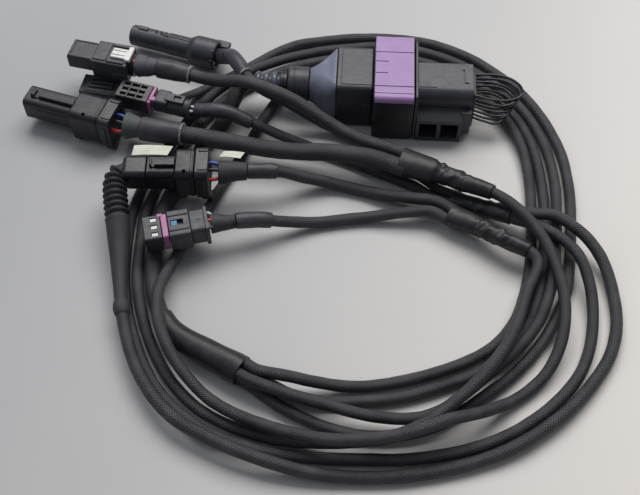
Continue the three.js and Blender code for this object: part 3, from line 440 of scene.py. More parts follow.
branch_3_first = [
    (-26, -84.9, 9.8), (-14, -89.3, 8), (5, -94.5), (23, -99), (42, -100.5), (55, -97), (66, -89.5),
    (79, -78.5), (92, -67), (104, -54), (112, -39), (118, -22), (121.5, -4), (124.5, 16), (126.5, 38),
    (125.5, 63), (119.5, 84), (109, 103), (95, 118.5), (79, 130.5), (60, 139), (40, 143), (20, 142),
    (0, 138.5), (-20, 131), (-39.5, 120.5), (-56.5, 107.5), (-70.5, 91.5), (-80.5, 73.5), (-88.4, 56.5),
    (-95.5, 38), (-99.8, 19), (-100.4, 0),
]
branch_3_second = [
    (-100.4, 0), (-99.8, -18), (-97, -36), (-92.4, -52), (-86, -68), (-77.5, -83), (-66.5, -95), (-53, -105),
    (-36, -111.5), (-18, -116), (2, -118), (20, -118.5), (38, -118.5), (55, -116.5), (72, -112.5), (88, -106),
    (102, -97.5), (114, -87.5), (124, -76), (131, -62), (135, -46), (135.5, -30), (132, -15), (126, -5),
    (118.5, 3.5), (110.5, 9.5), (101, 14), (86, 21), (70, 28),
]
flat_route = [
    (-26, -87.3), (-16, -94), (2, -102.5), (20, -107), (38, -106.5), (54, -102), (66, -95), (79, -86),
    (92, -76), (105, -62.5), (116, -47), (124, -30), (128.5, -11), (131.5, 8), (134, 27), (134.5, 46),
    (133, 63), (127, 84), (117, 104), (103, 121), (86, 135.5), (64, 146), (40, 150), (20, 150), (0, 147.5),
    (-14, 144.5), (-26, 138), (-37, 129.5), (-48.5, 121), (-60.5, 112.5), (-72.5, 105), (-85, 99.5),
    (-99, 100), (-112, 103, 4.4),
]
quarter = branch_radius + piece_gap / 2
branch_1_turn_height = 5.8
branch_3_shift = 3.1
into_sleeve = 5.0


def from_trunk(across, up, route):
    way = (math.cos(trunk_heading), math.sin(trunk_heading), 0)
    lift = np.array((0, 0, up))
    first = beside(trunk_joint, way, across, joint_gap) + lift
    second = beside(trunk_joint, way, across, 7) + lift
    return [first.tolist(), second.tolist(), *route]


def plain(radius):
    return lambda along, length: radius


def thickened(splice, radius):
    """A cable's radius, and over its last stretch that of the splice sleeve round it."""
    def radius_at(along, length):
        into = along - length + splice["length"]
        return radius if into <= 0 else splice["single"] + (splice["joined"]
                                                            - splice["single"]) * into / splice["length"]
    return radius_at


flat_start = from_trunk(-quarter, -quarter, flat_route)
flat_line = line_of(lay("flat", flat_start, plain(branch_radius), start_height=flat_start[0][2],
                        end_height=flat_route[-1][2]))
turns = {}
for branch, across, up, route, turn_height in (
        ("branch_2", quarter, -quarter, branch_2_first, None),
        ("branch_1", quarter, quarter, branch_1_first, branch_1_turn_height),
        ("branch_3", -quarter, quarter, branch_3_first, None)):
    whole = from_trunk(across, up, route)
    turns[branch] = lay(branch, whole, plain(branch_radius), start_height=whole[0][2], end_height=turn_height)
trunk_line = line_of(lay("trunk", [*trunk_route, trunk_joint.tolist()], thickened(trunk_splice, trunk_radius),
                         start_height=trunk_route[0][2], end_height=trunk_joint[2]))


def second_turn(branch, route, splice):
    first = turns[branch]
    second = lay(branch, route, thickened(splice, branch_radius), start=first[-1, 0],
                 start_height=first[-1, 3])
    samples = np.vstack([first, second[1:]])
    line = line_of(samples)
    return samples, line, line[1][-1] - splice["length"]


branch_2_samples, branch_2_line, near_mouth = second_turn("branch_2", branch_2_second, near_splice)
branch_3_samples, branch_3_line, middle_mouth = second_turn("branch_3", branch_3_second, middle_splice)


def moved_across(samples, mouth, across):
    """The same samples with the stretch round the mouth moved to the left of its way."""
    step = np.arange(len(samples)) * sample_step
    t = np.maximum(0, 1 - np.abs(mouth - step) / (2 * joint_reach))
    shift = across * t * t * (3 - 2 * t)
    ways = np.gradient(samples[:, 1:3], axis=0)
    ways /= np.linalg.norm(ways, axis=1)[:, None]
    moved = samples.copy()
    moved[:, 1] -= ways[:, 1] * shift
    moved[:, 2] += ways[:, 0] * shift
    return moved


branch_3_cable_line = line_of(moved_across(branch_3_samples, middle_mouth, branch_3_shift))
flat_length = flat_line[1][-1]
trunk_mouth = trunk_line[1][-1] - trunk_splice["length"]
sleeve("flat_cable_sleeving", flat_line, -into_sleeve, flat_length + 2, branch_radius, "flat_cable", 0, 11)
sleeve("branch_2_sleeving", branch_2_line, -into_sleeve, near_mouth + into_sleeve, branch_radius,
       "branch_2_cable", 0, 12)
sleeve("branch_3_sleeving", branch_3_cable_line, -into_sleeve, middle_mouth + into_sleeve, branch_radius,
       "branch_3_cable", 0, 13)
sleeve("trunk_sleeving", trunk_line, -into_sleeve, trunk_mouth + into_sleeve, trunk_radius, "trunk_cable", 0,
       14)
for name in ("branch_2_sleeving", "branch_3_sleeving", "trunk_sleeving"):
    declare_cable(name)

# Moulded plug's lead. It leaves a ribbed strain relief of soft rubber whose long plain tail narrows to a
# small bead, drops to the table, runs outside the coil and joins branch 3 in the middle splice.
moulded_radius = 3.1
tail_length = 88.0
moulded_route = [
    (-100.2, 35, 18.8), (-104.3, 34.2, 18.7), (-106.6, 30.6, 18.2), (-106.9, 25, 17), (-105.6, 15.8, 14.6),
    (-103.8, 5.9, 12.5), (-102, -8.8), (-100.6, -21.5), (-98.6, -36.8), (-96.6, -47), (-93.2, -59.4),
    (-89.2, -70.3), (-84, -80.5), (-76.5, -91.5), (-66, -101.5), (-52, -109.5), (-38, -116), (-22, -121.5),
    (-4, -125.5), (16, -127), (36, -126.5), (54, -124), (72, -119.5), (89, -113), (104, -104), (118, -93),
    (131, -79), (141, -64.5), (146.5, -48), (147.5, -31), (145, -15.5), (139, -4), (130.5, 4.5),
    (121.5, 11.2),
]
middle_start = spots_on(branch_3_line, middle_mouth)[0]
middle_back = -way_at(branch_3_line, middle_mouth)
moulded_across = 3.2
moulded_end = beside(middle_start, middle_back, moulded_across)
joints.append((np.array(moulded_end), ("moulded", "branch_3")))


relief_radius = 6.2
tail_begin = 40
tail_taper = 0.06


def tail_radius(along, length):
    if along >= tail_length:
        return moulded_radius
    return relief_radius - max(0, along - tail_begin) * tail_taper
moulded_line = line_of(lay("moulded", [*moulded_route, beside(middle_start, middle_back, 3.4, 8),
                                       moulded_end], tail_radius, start_height=moulded_route[0][2],
                           end_height=moulded_end[2]))
sleeve("moulded_lead_sleeving", moulded_line, tail_length - 5, moulded_line[1][-1] + into_sleeve - 1,
       moulded_radius, "moulded_cable", moulded_line[1][-1], 15)

# Leads. Each small connector hangs on a short lead: bare wires, a soft boot on most, a length of heat-shrink
# and then braided sleeving as far as the mouth of its splice, where two leads lie side by side.
leads = {}
for name, splice, across, radius, gap, boot, shrink in (
        ("slotted", "middle", 3, 2.8, 0.6, (0, 0), (35, 4.1)),
        ("lower", "near", -3.5, 3.2, 4.6, (15, 6.4), (16, 4.3)),
        ("three_way", "near", 3.5, 3.0, 0.8, (13, 5.1), (19, 4.4)),
        ("barrel", "middle", -3, 2.8, 0.6, (0, 0), (38, 4.6)),
        ("left", "top", 3.9, 4.8, 4.6, (9, 7.6), (24, 6.8)),
        ("upper", "top", -5.4, 3.5, 1.0, (12, 6.4), (19, 5.8))):
    leads[name] = {"splice": splice, "across": across, "radius": radius, "gap": gap, "boot": boot,
                   "shrink": shrink}
leads["left"]["route"] = [
    (-112, 74, 12.5), (-100, 71.5, 12.8), (-88, 68.5), (-76, 66), (-62, 63), (-45, 60), (-25, 57),
    (-5, 53.8, 10), (11, 50.8, 13), (23, 48, 15),
]
leads["upper"]["route"] = [
    (-104, 110.5, 20.6), (-93, 108, 20.4), (-82, 105.5, 20), (-71, 102.5, 19), (-57, 97, 17), (-40, 90),
    (-22, 82.2, 14), (-2, 72.8, 14), (15, 63.8, 14), (25, 58.4, 15),
]
leads["barrel"]["route"] = [
    (-60, 129.5, 9.5), (-52, 120.5, 14), (-46, 109, 21), (-40.5, 99, 24), (-32, 90, 19), (-18, 84.5, 11),
    (0, 79.5), (14, 74), (27, 66), (40, 55.5), (52, 45), (61, 36.5),
]
leads["slotted"]["route"] = [
    (-71, 83.2, 14), (-60, 80.4, 16.8), (-50, 78, 14), (-38, 75), (-20, 70), (-2, 63.5), (16, 55.5), (34, 46),
    (50, 37.5),
]
leads["three_way"]["route"] = [
    (-57, 3.5, 16), (-46, 5.8, 14), (-34, 8.2, 10), (-20, 10.5), (-2, 13.5), (18, 16.5), (34, 17.5),
    (47, 17.8),
]
leads["lower"]["route"] = [
    (-58, 35, 18.8), (-48, 35.2, 18), (-36, 36.2, 16), (-24, 37.6, 12.5), (-8, 39), (8, 38.5), (24, 34.5),
    (38, 29.5), (51, 25.8),
]
splice_mouths = {}
approach_length = 9
under_shrink = 5.0


def open_mouth(splice, branch, line):
    """Where a splice meets its branch, and the way into it."""
    end = line[1][-1]
    splice_mouths[splice] = (branch, *spots_on(line, end), way_at(line, end))


open_mouth("middle", "branch_3", branch_3_line)
open_mouth("near", "branch_2", branch_2_line)


def lay_lead(name):
    lead = leads[name]
    lead["boot_end"] = lead["gap"] + lead["boot"][0]
    lead["shrink_end"] = lead["boot_end"] + lead["shrink"][0]
    joined, at, way = splice_mouths[lead["splice"]]
    end = beside(at, way, lead["across"])
    approach = beside(at, way, lead["across"], approach_length)
    joints.append((np.array(end), (name, joined)))

    def radius_at(along, length):
        if along < lead["boot_end"]:
            return lead["boot"][1]
        return lead["shrink"][1] if along < lead["shrink_end"] else lead["radius"]

    route = lead["route"]
    samples = lay(name, [*route, approach, end], radius_at, start_height=route[0][2], end_height=end[2])
    lead["line"] = line_of(samples)


for name in ("slotted", "lower", "three_way", "barrel"):
    lay_lead(name)
branch_1_samples, branch_1_line, top_mouth = second_turn("branch_1", branch_1_second, top_splice)
open_mouth("top", "branch_1", branch_1_line)
lay_lead("left")
lay_lead("upper")
sleeve("branch_1_sleeving", branch_1_line, -into_sleeve, top_mouth + into_sleeve, branch_radius,
       "branch_1_cable", 0, 16)
declare_cable("branch_1_sleeving")
for seed, (name, lead) in enumerate(leads.items(), 21):
    length = lead["line"][1][-1]
    sleeve(name + "_lead_sleeving", lead["line"], lead["shrink_end"] - under_shrink, length + into_sleeve - 1,
           lead["radius"], name + "_cable", length, seed)


# Heat-shrink. Adhesive-lined tubing shrunk over the ends of the sleeving: dark grey, faintly glossy, drawn
# into fine lengthwise streaks. A line of pale adhesive shows where some of it ends.
def heat_shrink_finish(name, dark, light):
    finish = start_finish(name, specular=0.4)
    cloud = mottle(finish, 0.006, 4)
    grain = mottle(finish, 0.0007, 3)
    coat(finish, cloud, [dark, light], grain, 0.36, 0.54)
    height = reckon(finish, "ADD", cloud, reckon(finish, "MULTIPLY", grain, 0.35))
    raise_surface(finish, height, 0.00018, 0.8)
    return finish


def clouded_finish(name, dark, light, roughness=(0.3, 0.45), cloud_size=0.003, cloud_detail=3,
                   grain_size=0.0006, grain_detail=2, depth=0.00004):
    """A thin even material, a little cloudy, with a fine grain: adhesive, insulation, vinyl."""
    finish = start_finish(name)
    cloud = mottle(finish, cloud_size, cloud_detail)
    coat(finish, cloud, [dark, light], cloud, *roughness)
    raise_surface(finish, mottle(finish, grain_size, grain_detail), depth, 0.6)
    return finish


heat_shrink = heat_shrink_finish("heat_shrink", (0.013, 0.013, 0.015), (0.027, 0.027, 0.031))
lead_shrink = heat_shrink_finish("lead_heat_shrink", (0.034, 0.034, 0.042), (0.060, 0.060, 0.072))
pale_adhesive = clouded_finish("pale_adhesive", (0.16, 0.16, 0.15), (0.42, 0.42, 0.40), (0.25, 0.5), 0.0012,
                               3, 0.0012, 3, 0.0001)


def on_profile(profile, along):
    distances, radii = zip(*profile)
    return np.interp(along, distances, radii)


def creases(along, turn, pitch, seed):
    """Crossing creases over a sleeve, about -1 to 1. Distances come as a column and angles as a row."""
    draw = np.random.default_rng(seed)
    total = 0
    for lean in (-5, -3, -2, 1, 3, 4):
        across, phase = draw.uniform(0.9, 2.4) * pitch, draw.uniform(0, math.pi)
        total = total + (1 - 2 * np.abs(np.sin(math.pi * along / across + lean * turn / 2 + phase)))
    slack = 0.8 + 0.35 * np.sin(2 * math.pi * along / (3.4 * pitch) + turn + draw.uniform(0, 2 * math.pi))
    return total * slack / 4


def tubing(line, begin, end, profile, wall=0.8, wrinkle=0.12, pitch=7.0, seed=1, oval=None, sides=40,
           step=0.8):
    """A shrunk tube from begin to end with open rims. Its profile or its oval gives its size along it."""
    length = end - begin
    inner = np.linspace(0.5, length - 0.5, max(10, round(length / step)))
    stations = [(wall * 1.6, -wall - 0.15), (0.0, -wall), (0.0, -0.22), (0.15, -0.06)]
    stations += [(s, 0.0) for s in inner]
    stations += [(length - 0.15, -0.06), (length, -0.22), (length, -wall),
                 (length - wall * 1.6, -wall - 0.15)]
    along = np.array([s for s, _ in stations])
    inset = np.array([d for _, d in stations])[:, None]
    turn = np.arange(sides) / sides * 2 * math.pi
    if oval is None:
        radius = on_profile(profile, along)[:, None] * np.ones(sides)
    else:
        wide = on_profile([(s, w) for s, w, _ in oval], along)[:, None]
        high = on_profile([(s, h) for s, _, h in oval], along)[:, None]
        radius = wide * high / np.sqrt((high * np.cos(turn)) ** 2 + (wide * np.sin(turn)) ** 2)
    size = wrinkle if callable(wrinkle) else (lambda s: np.full_like(s, wrinkle))
    radius = radius + size(along)[:, None] * creases(along[:, None], turn[None, :], pitch, seed) + inset
    rings = rings_round(line, begin + along, radius, sides)
    corners, faces = skinned(rings)
    return to_part(corners), faces


def end_bead(line, at, radius, width=0.7):
    """The line of adhesive at the rim of a tube."""
    shape = [(-width / 2, -0.9), (-width / 2, -0.05), (0, 0.12), (width / 2, -0.1), (width / 2, -0.9)]
    rings = rings_round(line, [at + s for s, _ in shape], [radius + d for _, d in shape], 36)
    corners, faces = skinned(rings)
    return to_part(corners), faces, 1


half_gap = piece_gap / 2
for seed, (name, lead) in enumerate(leads.items(), 31):
    begin, end = lead["boot_end"] + half_gap, lead["shrink_end"] - half_gap
    length, first = end - begin, lead["shrink"][1]
    last = (first + lead["radius"]) / 2 + 0.35
    profile = [(0, first - 0.2), (3, first), (length * 0.55, first * 0.98), (length - 4, last + 0.25),
               (length, last)]
    shapes = [tubing(lead["line"], begin, end, profile, wrinkle=0.14, pitch=9, seed=seed)]
    if name in ("left", "upper", "barrel"):
        shapes.append(end_bead(lead["line"], end + 0.1, last + 0.1))
    make_piece(name + "_lead_shrink", shapes, [lead_shrink, pale_adhesive],
               (name + "_shrink",), smooth=55)


# Splices. Where cables join, a short fat tube of the same heat-shrink covers the joint. The trunk's is plain.
# Those at the right are flattened over two leads at one end and gathered in creases over the joint in their
# middle.
def wrinkled_between(first, last, size, rest=0.12):
    def size_at(s):
        return rest + (size - rest) * np.clip((s - first) / 2, 0, 1) * np.clip((last - s) / 3, 0, 1)
    return size_at


def splice_piece(name, line, splice, oval, wrinkle, pitch, seed):
    end = line[1][-1]
    shape = tubing(line, end - splice["length"], end, None, wall=1.0, wrinkle=wrinkle, pitch=pitch, seed=seed,
                   oval=oval, sides=56, step=0.5)
    make_piece(name + "_sleeve", [shape], [heat_shrink], (name,), smooth=60)


splice_piece("top_splice", branch_1_line, top_splice,
             [(0, 4.1, 4.1), (13, 4.7, 4.6), (15, 5.3, 5.0), (31, 5.9, 5.2), (33.5, 7.2, 5.9),
              (52, 8.6, 6.1)], wrinkled_between(14, 33, 0.85), 5.0, 41)
splice_piece("middle_splice", branch_3_line, middle_splice,
             [(0, 6.2, 4.3), (6, 5.4, 4.5), (14, 4.9, 4.7), (25, 4.9, 4.6), (34, 6.0, 4.3)],
             wrinkled_between(8, 24, 0.42), 5.6, 42)
splice_piece("near_splice", branch_2_line, near_splice,
             [(0, 4.0, 4.0), (12, 4.5, 4.5), (24, 5.0, 4.9), (32, 5.5, 5.0), (46, 6.8, 4.9)],
             wrinkled_between(10, 32, 0.72), 4.8, 43)
splice_piece("trunk_splice", trunk_line, trunk_splice,
             [(0, 5.3, 5.3), (4, 5.7, 5.7), (34, 6.8, 6.7), (47, 7.5, 7.3), (52, 7.5, 7.3)],
             wrinkled_between(0, 52, 0.16), 14.0, 44)


# Boots. Soft moulded rubber caps between a connector's loose wires and the heat-shrink on four of the leads,
# matt and a little dusty. The left one is an older, greyer green rubber.
def rubber_finish(name, dark, light, low=0.55, high=0.75, painted_highlight_at=None):
    """Dusty rubber. Where a place and reach along x are given, a painted highlight lightens it to the light
    colour round that x, and it is dark beyond.
    """
    finish = start_finish(name, specular=0.45)
    dust = mottle(finish, 0.007, 5)
    grain = mottle(finish, 0.0005, 2)
    tone = dust
    if painted_highlight_at is not None:
        middle, reach = painted_highlight_at
        x = split_place(finish, "TexCoord", "Object")[1][0]
        away = reckon(finish, "ABSOLUTE", reckon(finish, "SUBTRACT", x, middle))
        near = reckon(finish, "MULTIPLY_ADD", away, -0.4 / reach, 0.66)
        tone = reckon(finish, "MULTIPLY_ADD", dust, 0.3, reckon(finish, "MULTIPLY", near, 0.8))
    coat(finish, tone, [dark, light], dust, low, high)
    raise_surface(finish, grain, 0.00008, 0.7)
    return finish


rubber = rubber_finish("soft_rubber", (0.024, 0.024, 0.028), (0.048, 0.048, 0.054))
green_rubber = rubber_finish("grey_green_rubber", (0.055, 0.066, 0.066), (0.085, 0.100, 0.098))
grey_rubber = rubber_finish("pale_grey_rubber", (0.060, 0.061, 0.074), (0.100, 0.102, 0.120))
boot_rubbers = {"left": green_rubber, "upper": grey_rubber, "three_way": rubber, "lower": rubber}
for seed, (name, boot_rubber) in enumerate(boot_rubbers.items(), 51):
    lead = leads[name]
    begin, end = lead["gap"], lead["boot_end"] - half_gap
    length, radius = end - begin, lead["boot"][1]
    profile = [(0, radius - 0.1), (0.8, radius + 0.1), (1.8, radius), (length * 0.3, radius * 0.95),
               (length * 0.65, radius * 0.82), (length - 1, radius * 0.75), (length, radius * 0.73)]
    oval = [(s, r, r * 0.97) for s, r in profile]
    shape = tubing(lead["line"], begin, end, profile, wall=1.3, wrinkle=0.16, pitch=12, seed=seed, oval=oval,
                   step=0.6)
    make_piece(name + "_lead_boot", [shape], [boot_rubber], (name + "_boot",), smooth=55)


# Strain relief of the moulded plug. One soft rubber moulding: nine ribs round the lead where it bends, then a
# plain tail that narrows to a bead where the lead comes out.
def moved_on(start, profile):
    """A profile or stations with this start added to each distance."""
    return [(start + x, *rest) for x, *rest in profile]


ribs = 9
rib_pitch = 3.4
relief = [(-2.4, 4.6), (-2.2, 5.4), (0, 5.8), (1.2, 6.2), (2.4, 6.2)]
for i in range(ribs):
    relief += moved_on(3 + i * rib_pitch, [(0, 6.1), (0.3, 5.5), (0.7, 4.8), (1.2, 4.7), (1.7, 4.8),
                                           (2.2, 5.6), (2.5, 6.3), (2.9, 6.5)])
relief += [(35, 6.2), (42, 5.9), (50, 5.2), (58, 4.5), (66, 3.9), (72, 3.45), (78, 3.2), (79.2, 3.4),
           (80.5, 3.95), (83, 4.25), (85.5, 3.95), (86.7, 3.6), (87.4, 3.2), (87.4, 2.6)]
fine = []
for (s0, r0), (s1, r1) in zip(relief, relief[1:]):
    pieces = max(2, math.ceil((s1 - s0) / 1.2))
    fine.extend(zip(np.linspace(s0, s1, pieces, endpoint=False), np.linspace(r0, r1, pieces, endpoint=False)))
fine.append(relief[-1])
relief_rings = rings_round(moulded_line, [s for s, _ in fine], [r for _, r in fine], 44)
relief_corners, relief_faces = skinned(relief_rings)
make_piece("moulded_relief_ribs", [(to_part(relief_corners), relief_faces)], [rubber],
           ("moulded_relief",), smooth=50)


# Main connector's outlet. A ribbed rubber neck with a dark seal ring holds the trunk, then a round collar and
# a soft boot that flares from round to the square rear cover. All are moulded and pushed over one another.
def moulded_finish(name, dark, light, low=0.36, high=0.52):
    finish = start_finish(name)
    cloud = mottle(finish, 0.012, 4)
    grain = mottle(finish, 0.00045, 2)
    scuff = mottle(finish, 0.004, 6, (1, 3, 1))
    coat(finish, blend(finish, cloud, 0.7, scuff, 0.3), [dark, light], scuff, low, high)
    raise_surface(finish, grain, 0.00006, 0.7)
    return finish


charcoal = moulded_finish("charcoal_plastic", (0.028, 0.029, 0.037), (0.048, 0.050, 0.062))
black = moulded_finish("black_plastic", (0.012, 0.012, 0.015), (0.024, 0.024, 0.028), 0.30, 0.44)
# The blue grey boot carries a painted highlight: lighter round its middle along x, dark towards its ends.
blue_grey = rubber_finish("blue_grey_rubber", (0.050, 0.055, 0.075), (0.215, 0.230, 0.315), 0.38, 0.50,
                          (-0.038, 0.011))
neck_grey = moulded_finish("neck_grey_plastic", (0.050, 0.055, 0.078), (0.090, 0.098, 0.130), 0.20, 0.32)


def rounded_outline(width, height, corner, y=0.0, z=0.0, steps=6):
    w, h = width / 2, height / 2
    c = max(min(corner, w - 0.001, h - 0.001), 0.001)
    points = []
    for cy, cz, first in ((w - c, h - c, 0), (c - w, h - c, 90), (c - w, c - h, 180), (w - c, c - h, 270)):
        for k in range(steps + 1):
            turn = math.radians(first + 90 * k / steps)
            points.append((y + cy + c * math.cos(turn), z + cz + c * math.sin(turn)))
    return points


def loft(stations, steps=6):
    """A closed skin through rounded rectangles: x, width, height, corner and the middle's y and z."""
    rings = []
    for x, width, height, corner, *middle in stations:
        y, z = middle or (0, 0)
        rings.append([(x, a, b) for a, b in rounded_outline(width, height, corner, y, z, steps)])
    return skinned(np.array(rings, float))


def block_stations(x0, x1, width, height, corner, edge=0.5, y=0.0, z=0.0):
    first = [(x0 + edge * (1 - math.cos(t)), edge * (1 - math.sin(t))) for t in np.radians((0, 30, 60, 90))]
    last = [(x1 - edge * (1 - math.cos(t)), edge * (1 - math.sin(t))) for t in np.radians((90, 60, 30, 0))]
    return [(x, width - 2 * d, height - 2 * d, corner - d, y, z) for x, d in first + last]


def mouth_stations(x1, depth, width, height, corner, y=0.0, z=0.0):
    """The way back into a cavity from the end of a block."""
    return [(x1, width + 0.5, height + 0.5, corner + 0.25, y, z), (x1 - 0.25, width, height, corner, y, z),
            (x1 - depth, width, height, corner, y, z)]


def block(x0, x1, y0, y1, z0, z1, corner=0.35, edge=0.3):
    return loft(block_stations(x0, x1, y1 - y0, z1 - z0, corner, edge, (y0 + y1) / 2, (z0 + z1) / 2), 3)


def cutter(x0, x1, y0, y1, z0, z1, corner=0.05, edge=0.01):
    """A block with sharp edges, to cut with."""
    return block(x0, x1, y0, y1, z0, z1, corner, edge)


def block_pair(x0, x1, middle, half_width, z0, z1, corner, edge):
    """Two like blocks, one on each side of the connector's middle."""
    return [block(x0, x1, y - half_width, y + half_width, z0, z1, corner, edge) for y in (-middle, middle)]


def lathe(profile, sides=56, y=0.0, z=0.0):
    """A turned shape along x from distance and radius."""
    turn = np.arange(sides) / sides * 2 * math.pi
    rings = []
    for x, radius in profile:
        reach = max(radius, 0.01)
        rings.append([(x, y + reach * math.cos(a), z + reach * math.sin(a)) for a in turn])
    return skinned(np.array(rings))


def wire(points, radius, sides=12, number=0):
    """A thin wire through points, in the connector's own millimetres."""
    line = smooth_through(points, 8)
    length = line[1][-1]
    rings = max(6, round(length / 0.8))
    corners, faces = skinned(rings_round(line, np.linspace(0, length, rings), np.full(rings, radius), sides))
    return corners, faces, number


def worked(shape, tools=(), soften=0.0, angle=40):
    """A shape with the tools cut out of it and its hard edges rounded over."""
    def as_object(corners, faces):
        mesh = bpy.data.meshes.new("blank")
        mesh.from_pydata(np.asarray(corners, float).tolist(), [], faces)
        turn_outwards(mesh)
        blank = bpy.data.objects.new("blank", mesh)
        bpy.context.scene.collection.objects.link(blank)
        return blank

    blank = as_object(shape[0], shape[1])
    cutters = [as_object(tool[0], tool[1]) for tool in tools]
    for cutter in cutters:
        modifier = blank.modifiers.new("cut", "BOOLEAN")
        modifier.operation = "DIFFERENCE"
        modifier.solver = "EXACT"
        modifier.object = cutter
    if soften:
        modifier = blank.modifiers.new("soften", "BEVEL")
        modifier.width = soften
        modifier.segments = 2
        modifier.limit_method = "ANGLE"
        modifier.angle_limit = math.radians(angle)
        modifier.use_clamp_overlap = True
    bpy.context.view_layer.update()
    done = blank.evaluated_get(bpy.context.evaluated_depsgraph_get()).to_mesh()
    corners = np.array([corner.co for corner in done.vertices])
    faces = [list(face.vertices) for face in done.polygons]
    for old in [blank, *cutters]:
        bpy.data.objects.remove(old)
    return (corners, faces, *shape[2:])


def fit(connector, part, shapes, finishes, node=None, smooth=35, body="harness"):
    """One piece of a connector, from shapes in the connector's own millimetres, at its place and heading."""
    turn = math.radians(connector["heading"])
    across = np.array(((math.cos(turn), math.sin(turn), 0), (-math.sin(turn), math.cos(turn), 0), (0, 0, 1)))
    placed = [(to_part(np.asarray(shape[0]) @ across + np.array(connector["at"])), *shape[1:])
              for shape in shapes]
    name = connector["name"] + "_" + part
    nodes = (connector["name"] + "_" + node,) if node else ()
    make_piece(name, placed, finishes, nodes, body, smooth)
    connector["pieces"].append(name)


def connector_at(name, at, heading):
    """A connector's name, place, heading and the names of its pieces."""
    return {"name": name, "at": at, "heading": heading, "pieces": []}


def numbered(shape, number):
    return shape[0], shape[1], number


main = connector_at("main", main_place, -3)
axis_height = 16
cover_middle = 2
cover_start, cover_end = -31.55, -11.55

neck_end, neck_start = -63.45, -77.95
neck = [(neck_start + 1.5, 4.6), (neck_start, 4.6), (neck_start, 5.2), (neck_start + 0.4, 5.6)]
for i in range(3):
    neck += moved_on(neck_start + 0.5 + i * 4.6, [(0.3, 5.9), (0.9, 6.3), (1.8, 6.4), (2.6, 6.1), (3.0, 5.2),
                                                  (3.4, 4.7), (3.9, 4.7), (4.3, 5.3)])
neck += [(neck_end - 0.2, 5.2), (neck_end, 5.2), (neck_end, 4.5)]
seal_ring = moved_on(neck_end, [(0, 5.0), (0, 6.6), (0.4, 7.0), (1.4, 7.0), (1.7, 6.6), (2.1, 6.6),
                                (2.4, 7.0), (3.6, 7.0), (4.0, 6.6), (4.0, 5.0)])
fit(main, "neck_ribs", [lathe(neck, y=cover_middle, z=axis_height),
                        numbered(lathe(seal_ring, y=cover_middle, z=axis_height), 1)],
    [neck_grey, black], "neck", 50)
collar_start, collar_end = -59.15, -47.15
collar = moved_on(collar_start, [(-0.2, 6.0), (0, 8.6), (0.5, 9.4), (1.2, 9.8), (3.4, 9.8), (3.6, 9.55),
                                 (4.0, 9.55), (4.2, 9.8)])
collar += [(collar_end - 0.5, 9.8), (collar_end, 9.4), (collar_end + 0.2, 6)]
fit(main, "collar_ring", [lathe(collar, y=cover_middle, z=axis_height)], [charcoal],
    "collar", 50)
boot_start, boot_end = -46.85, -31.85
flare = moved_on(boot_start, [
    (0, 18.4, 18.4, 9.2), (0.4, 19.2, 19.2, 9.6), (1.2, 19.6, 19.6, 9.8), (4.0, 22.2, 22.0, 10.4),
    (6.5, 24.4, 24.1, 10.0), (9.0, 26.7, 26.3, 8.8), (11.5, 29.0, 28.5, 6.6), (13.6, 30.9, 30.4, 4.4)])
flare += [(boot_end - 0.3, 31.4, 30.9, 3.6), (boot_end, 31.2, 30.7, 3.4)]
fit(main, "boot_flare", [loft([(*ring, cover_middle, axis_height - 0.3) for ring in flare], 12)], [blue_grey],
    "boot", 50)


# Main connector's rear cover and socket half. The cover closes the back of the black socket, which carries
# the slide lock. Both are glass-filled nylon, injection moulded, clipped together with a thin plate in front.
cover = loft(block_stations(cover_start, cover_end, 32, 31.5, 2.5, 0.9, cover_middle, 15.75), 6)
cover_step = block(cover_start + 2.5, cover_end - 0.4, cover_middle - 13.6, cover_middle + 13.6, 30.6, 31.9,
                   1.2, 0.4)
cover_clip = block(-17, -11.9, cover_middle - 16.6, cover_middle - 14, 9, 19, 0.6, 0.4)
fit(main, "cover_shell", [cover, cover_step, cover_clip], [charcoal], "rear_cover")
socket_length, socket_width, socket_height = 22.5, 44, 33
rail_x = 21 / 2 - 3 / 2 - 1
socket = loft(block_stations(-socket_length / 2, socket_length / 2, socket_width, socket_height, 1.5, 0.7, 0,
                             socket_height / 2), 5)
grooves = [block(x - 1.8, x + 1.8, -23, 23, socket_height - 4.3, socket_height + 1, 0.1, 0.05)
           for x in (-rail_x, rail_x)]
socket = worked(socket, grooves)
socket_foot = block(-10.5, 10.5, -22.4, -20, 0.6, 3.4, 0.4, 0.4)
fit(main, "socket_block", [socket, socket_foot], [black], "socket_housing")
flange = loft(block_stations(11.55, 13.05, 44, 34, 2, 0.3, 0, 17), 5)
flange_edge = loft(block_stations(11.75, 12.85, 42.4, 34.4, 2, 0.2, 0, 17), 5)
fit(main, "flange_plate", [flange, flange_edge], [charcoal], "flange")


# Slide lock. A lilac moulding that sits over the socket on two rails, with grip lines across its top and a
# rounded lip over the front. Pulled forward by its lip, it lets the two halves part.
def lilac_finish(name, deep, pale):
    finish = start_finish(name)
    cloud = mottle(finish, 0.009, 4)
    streak = mottle(finish, 0.0035, 4, (4, 1, 1))
    grain = mottle(finish, 0.0004, 2)
    coat(finish, blend(finish, cloud, 0.6, streak, 0.4), [deep, pale], streak, 0.38, 0.5)
    raise_surface(finish, grain, 0.00005, 0.6)
    return finish


lilac = lilac_finish("lilac_plastic", (0.270, 0.155, 0.360), (0.350, 0.215, 0.440))
lock_bottom, lock_top = socket_height + piece_gap, socket_height + piece_gap + 3
lock_front, lock_back = -25.3, 21.7
lock_lip = 4.0


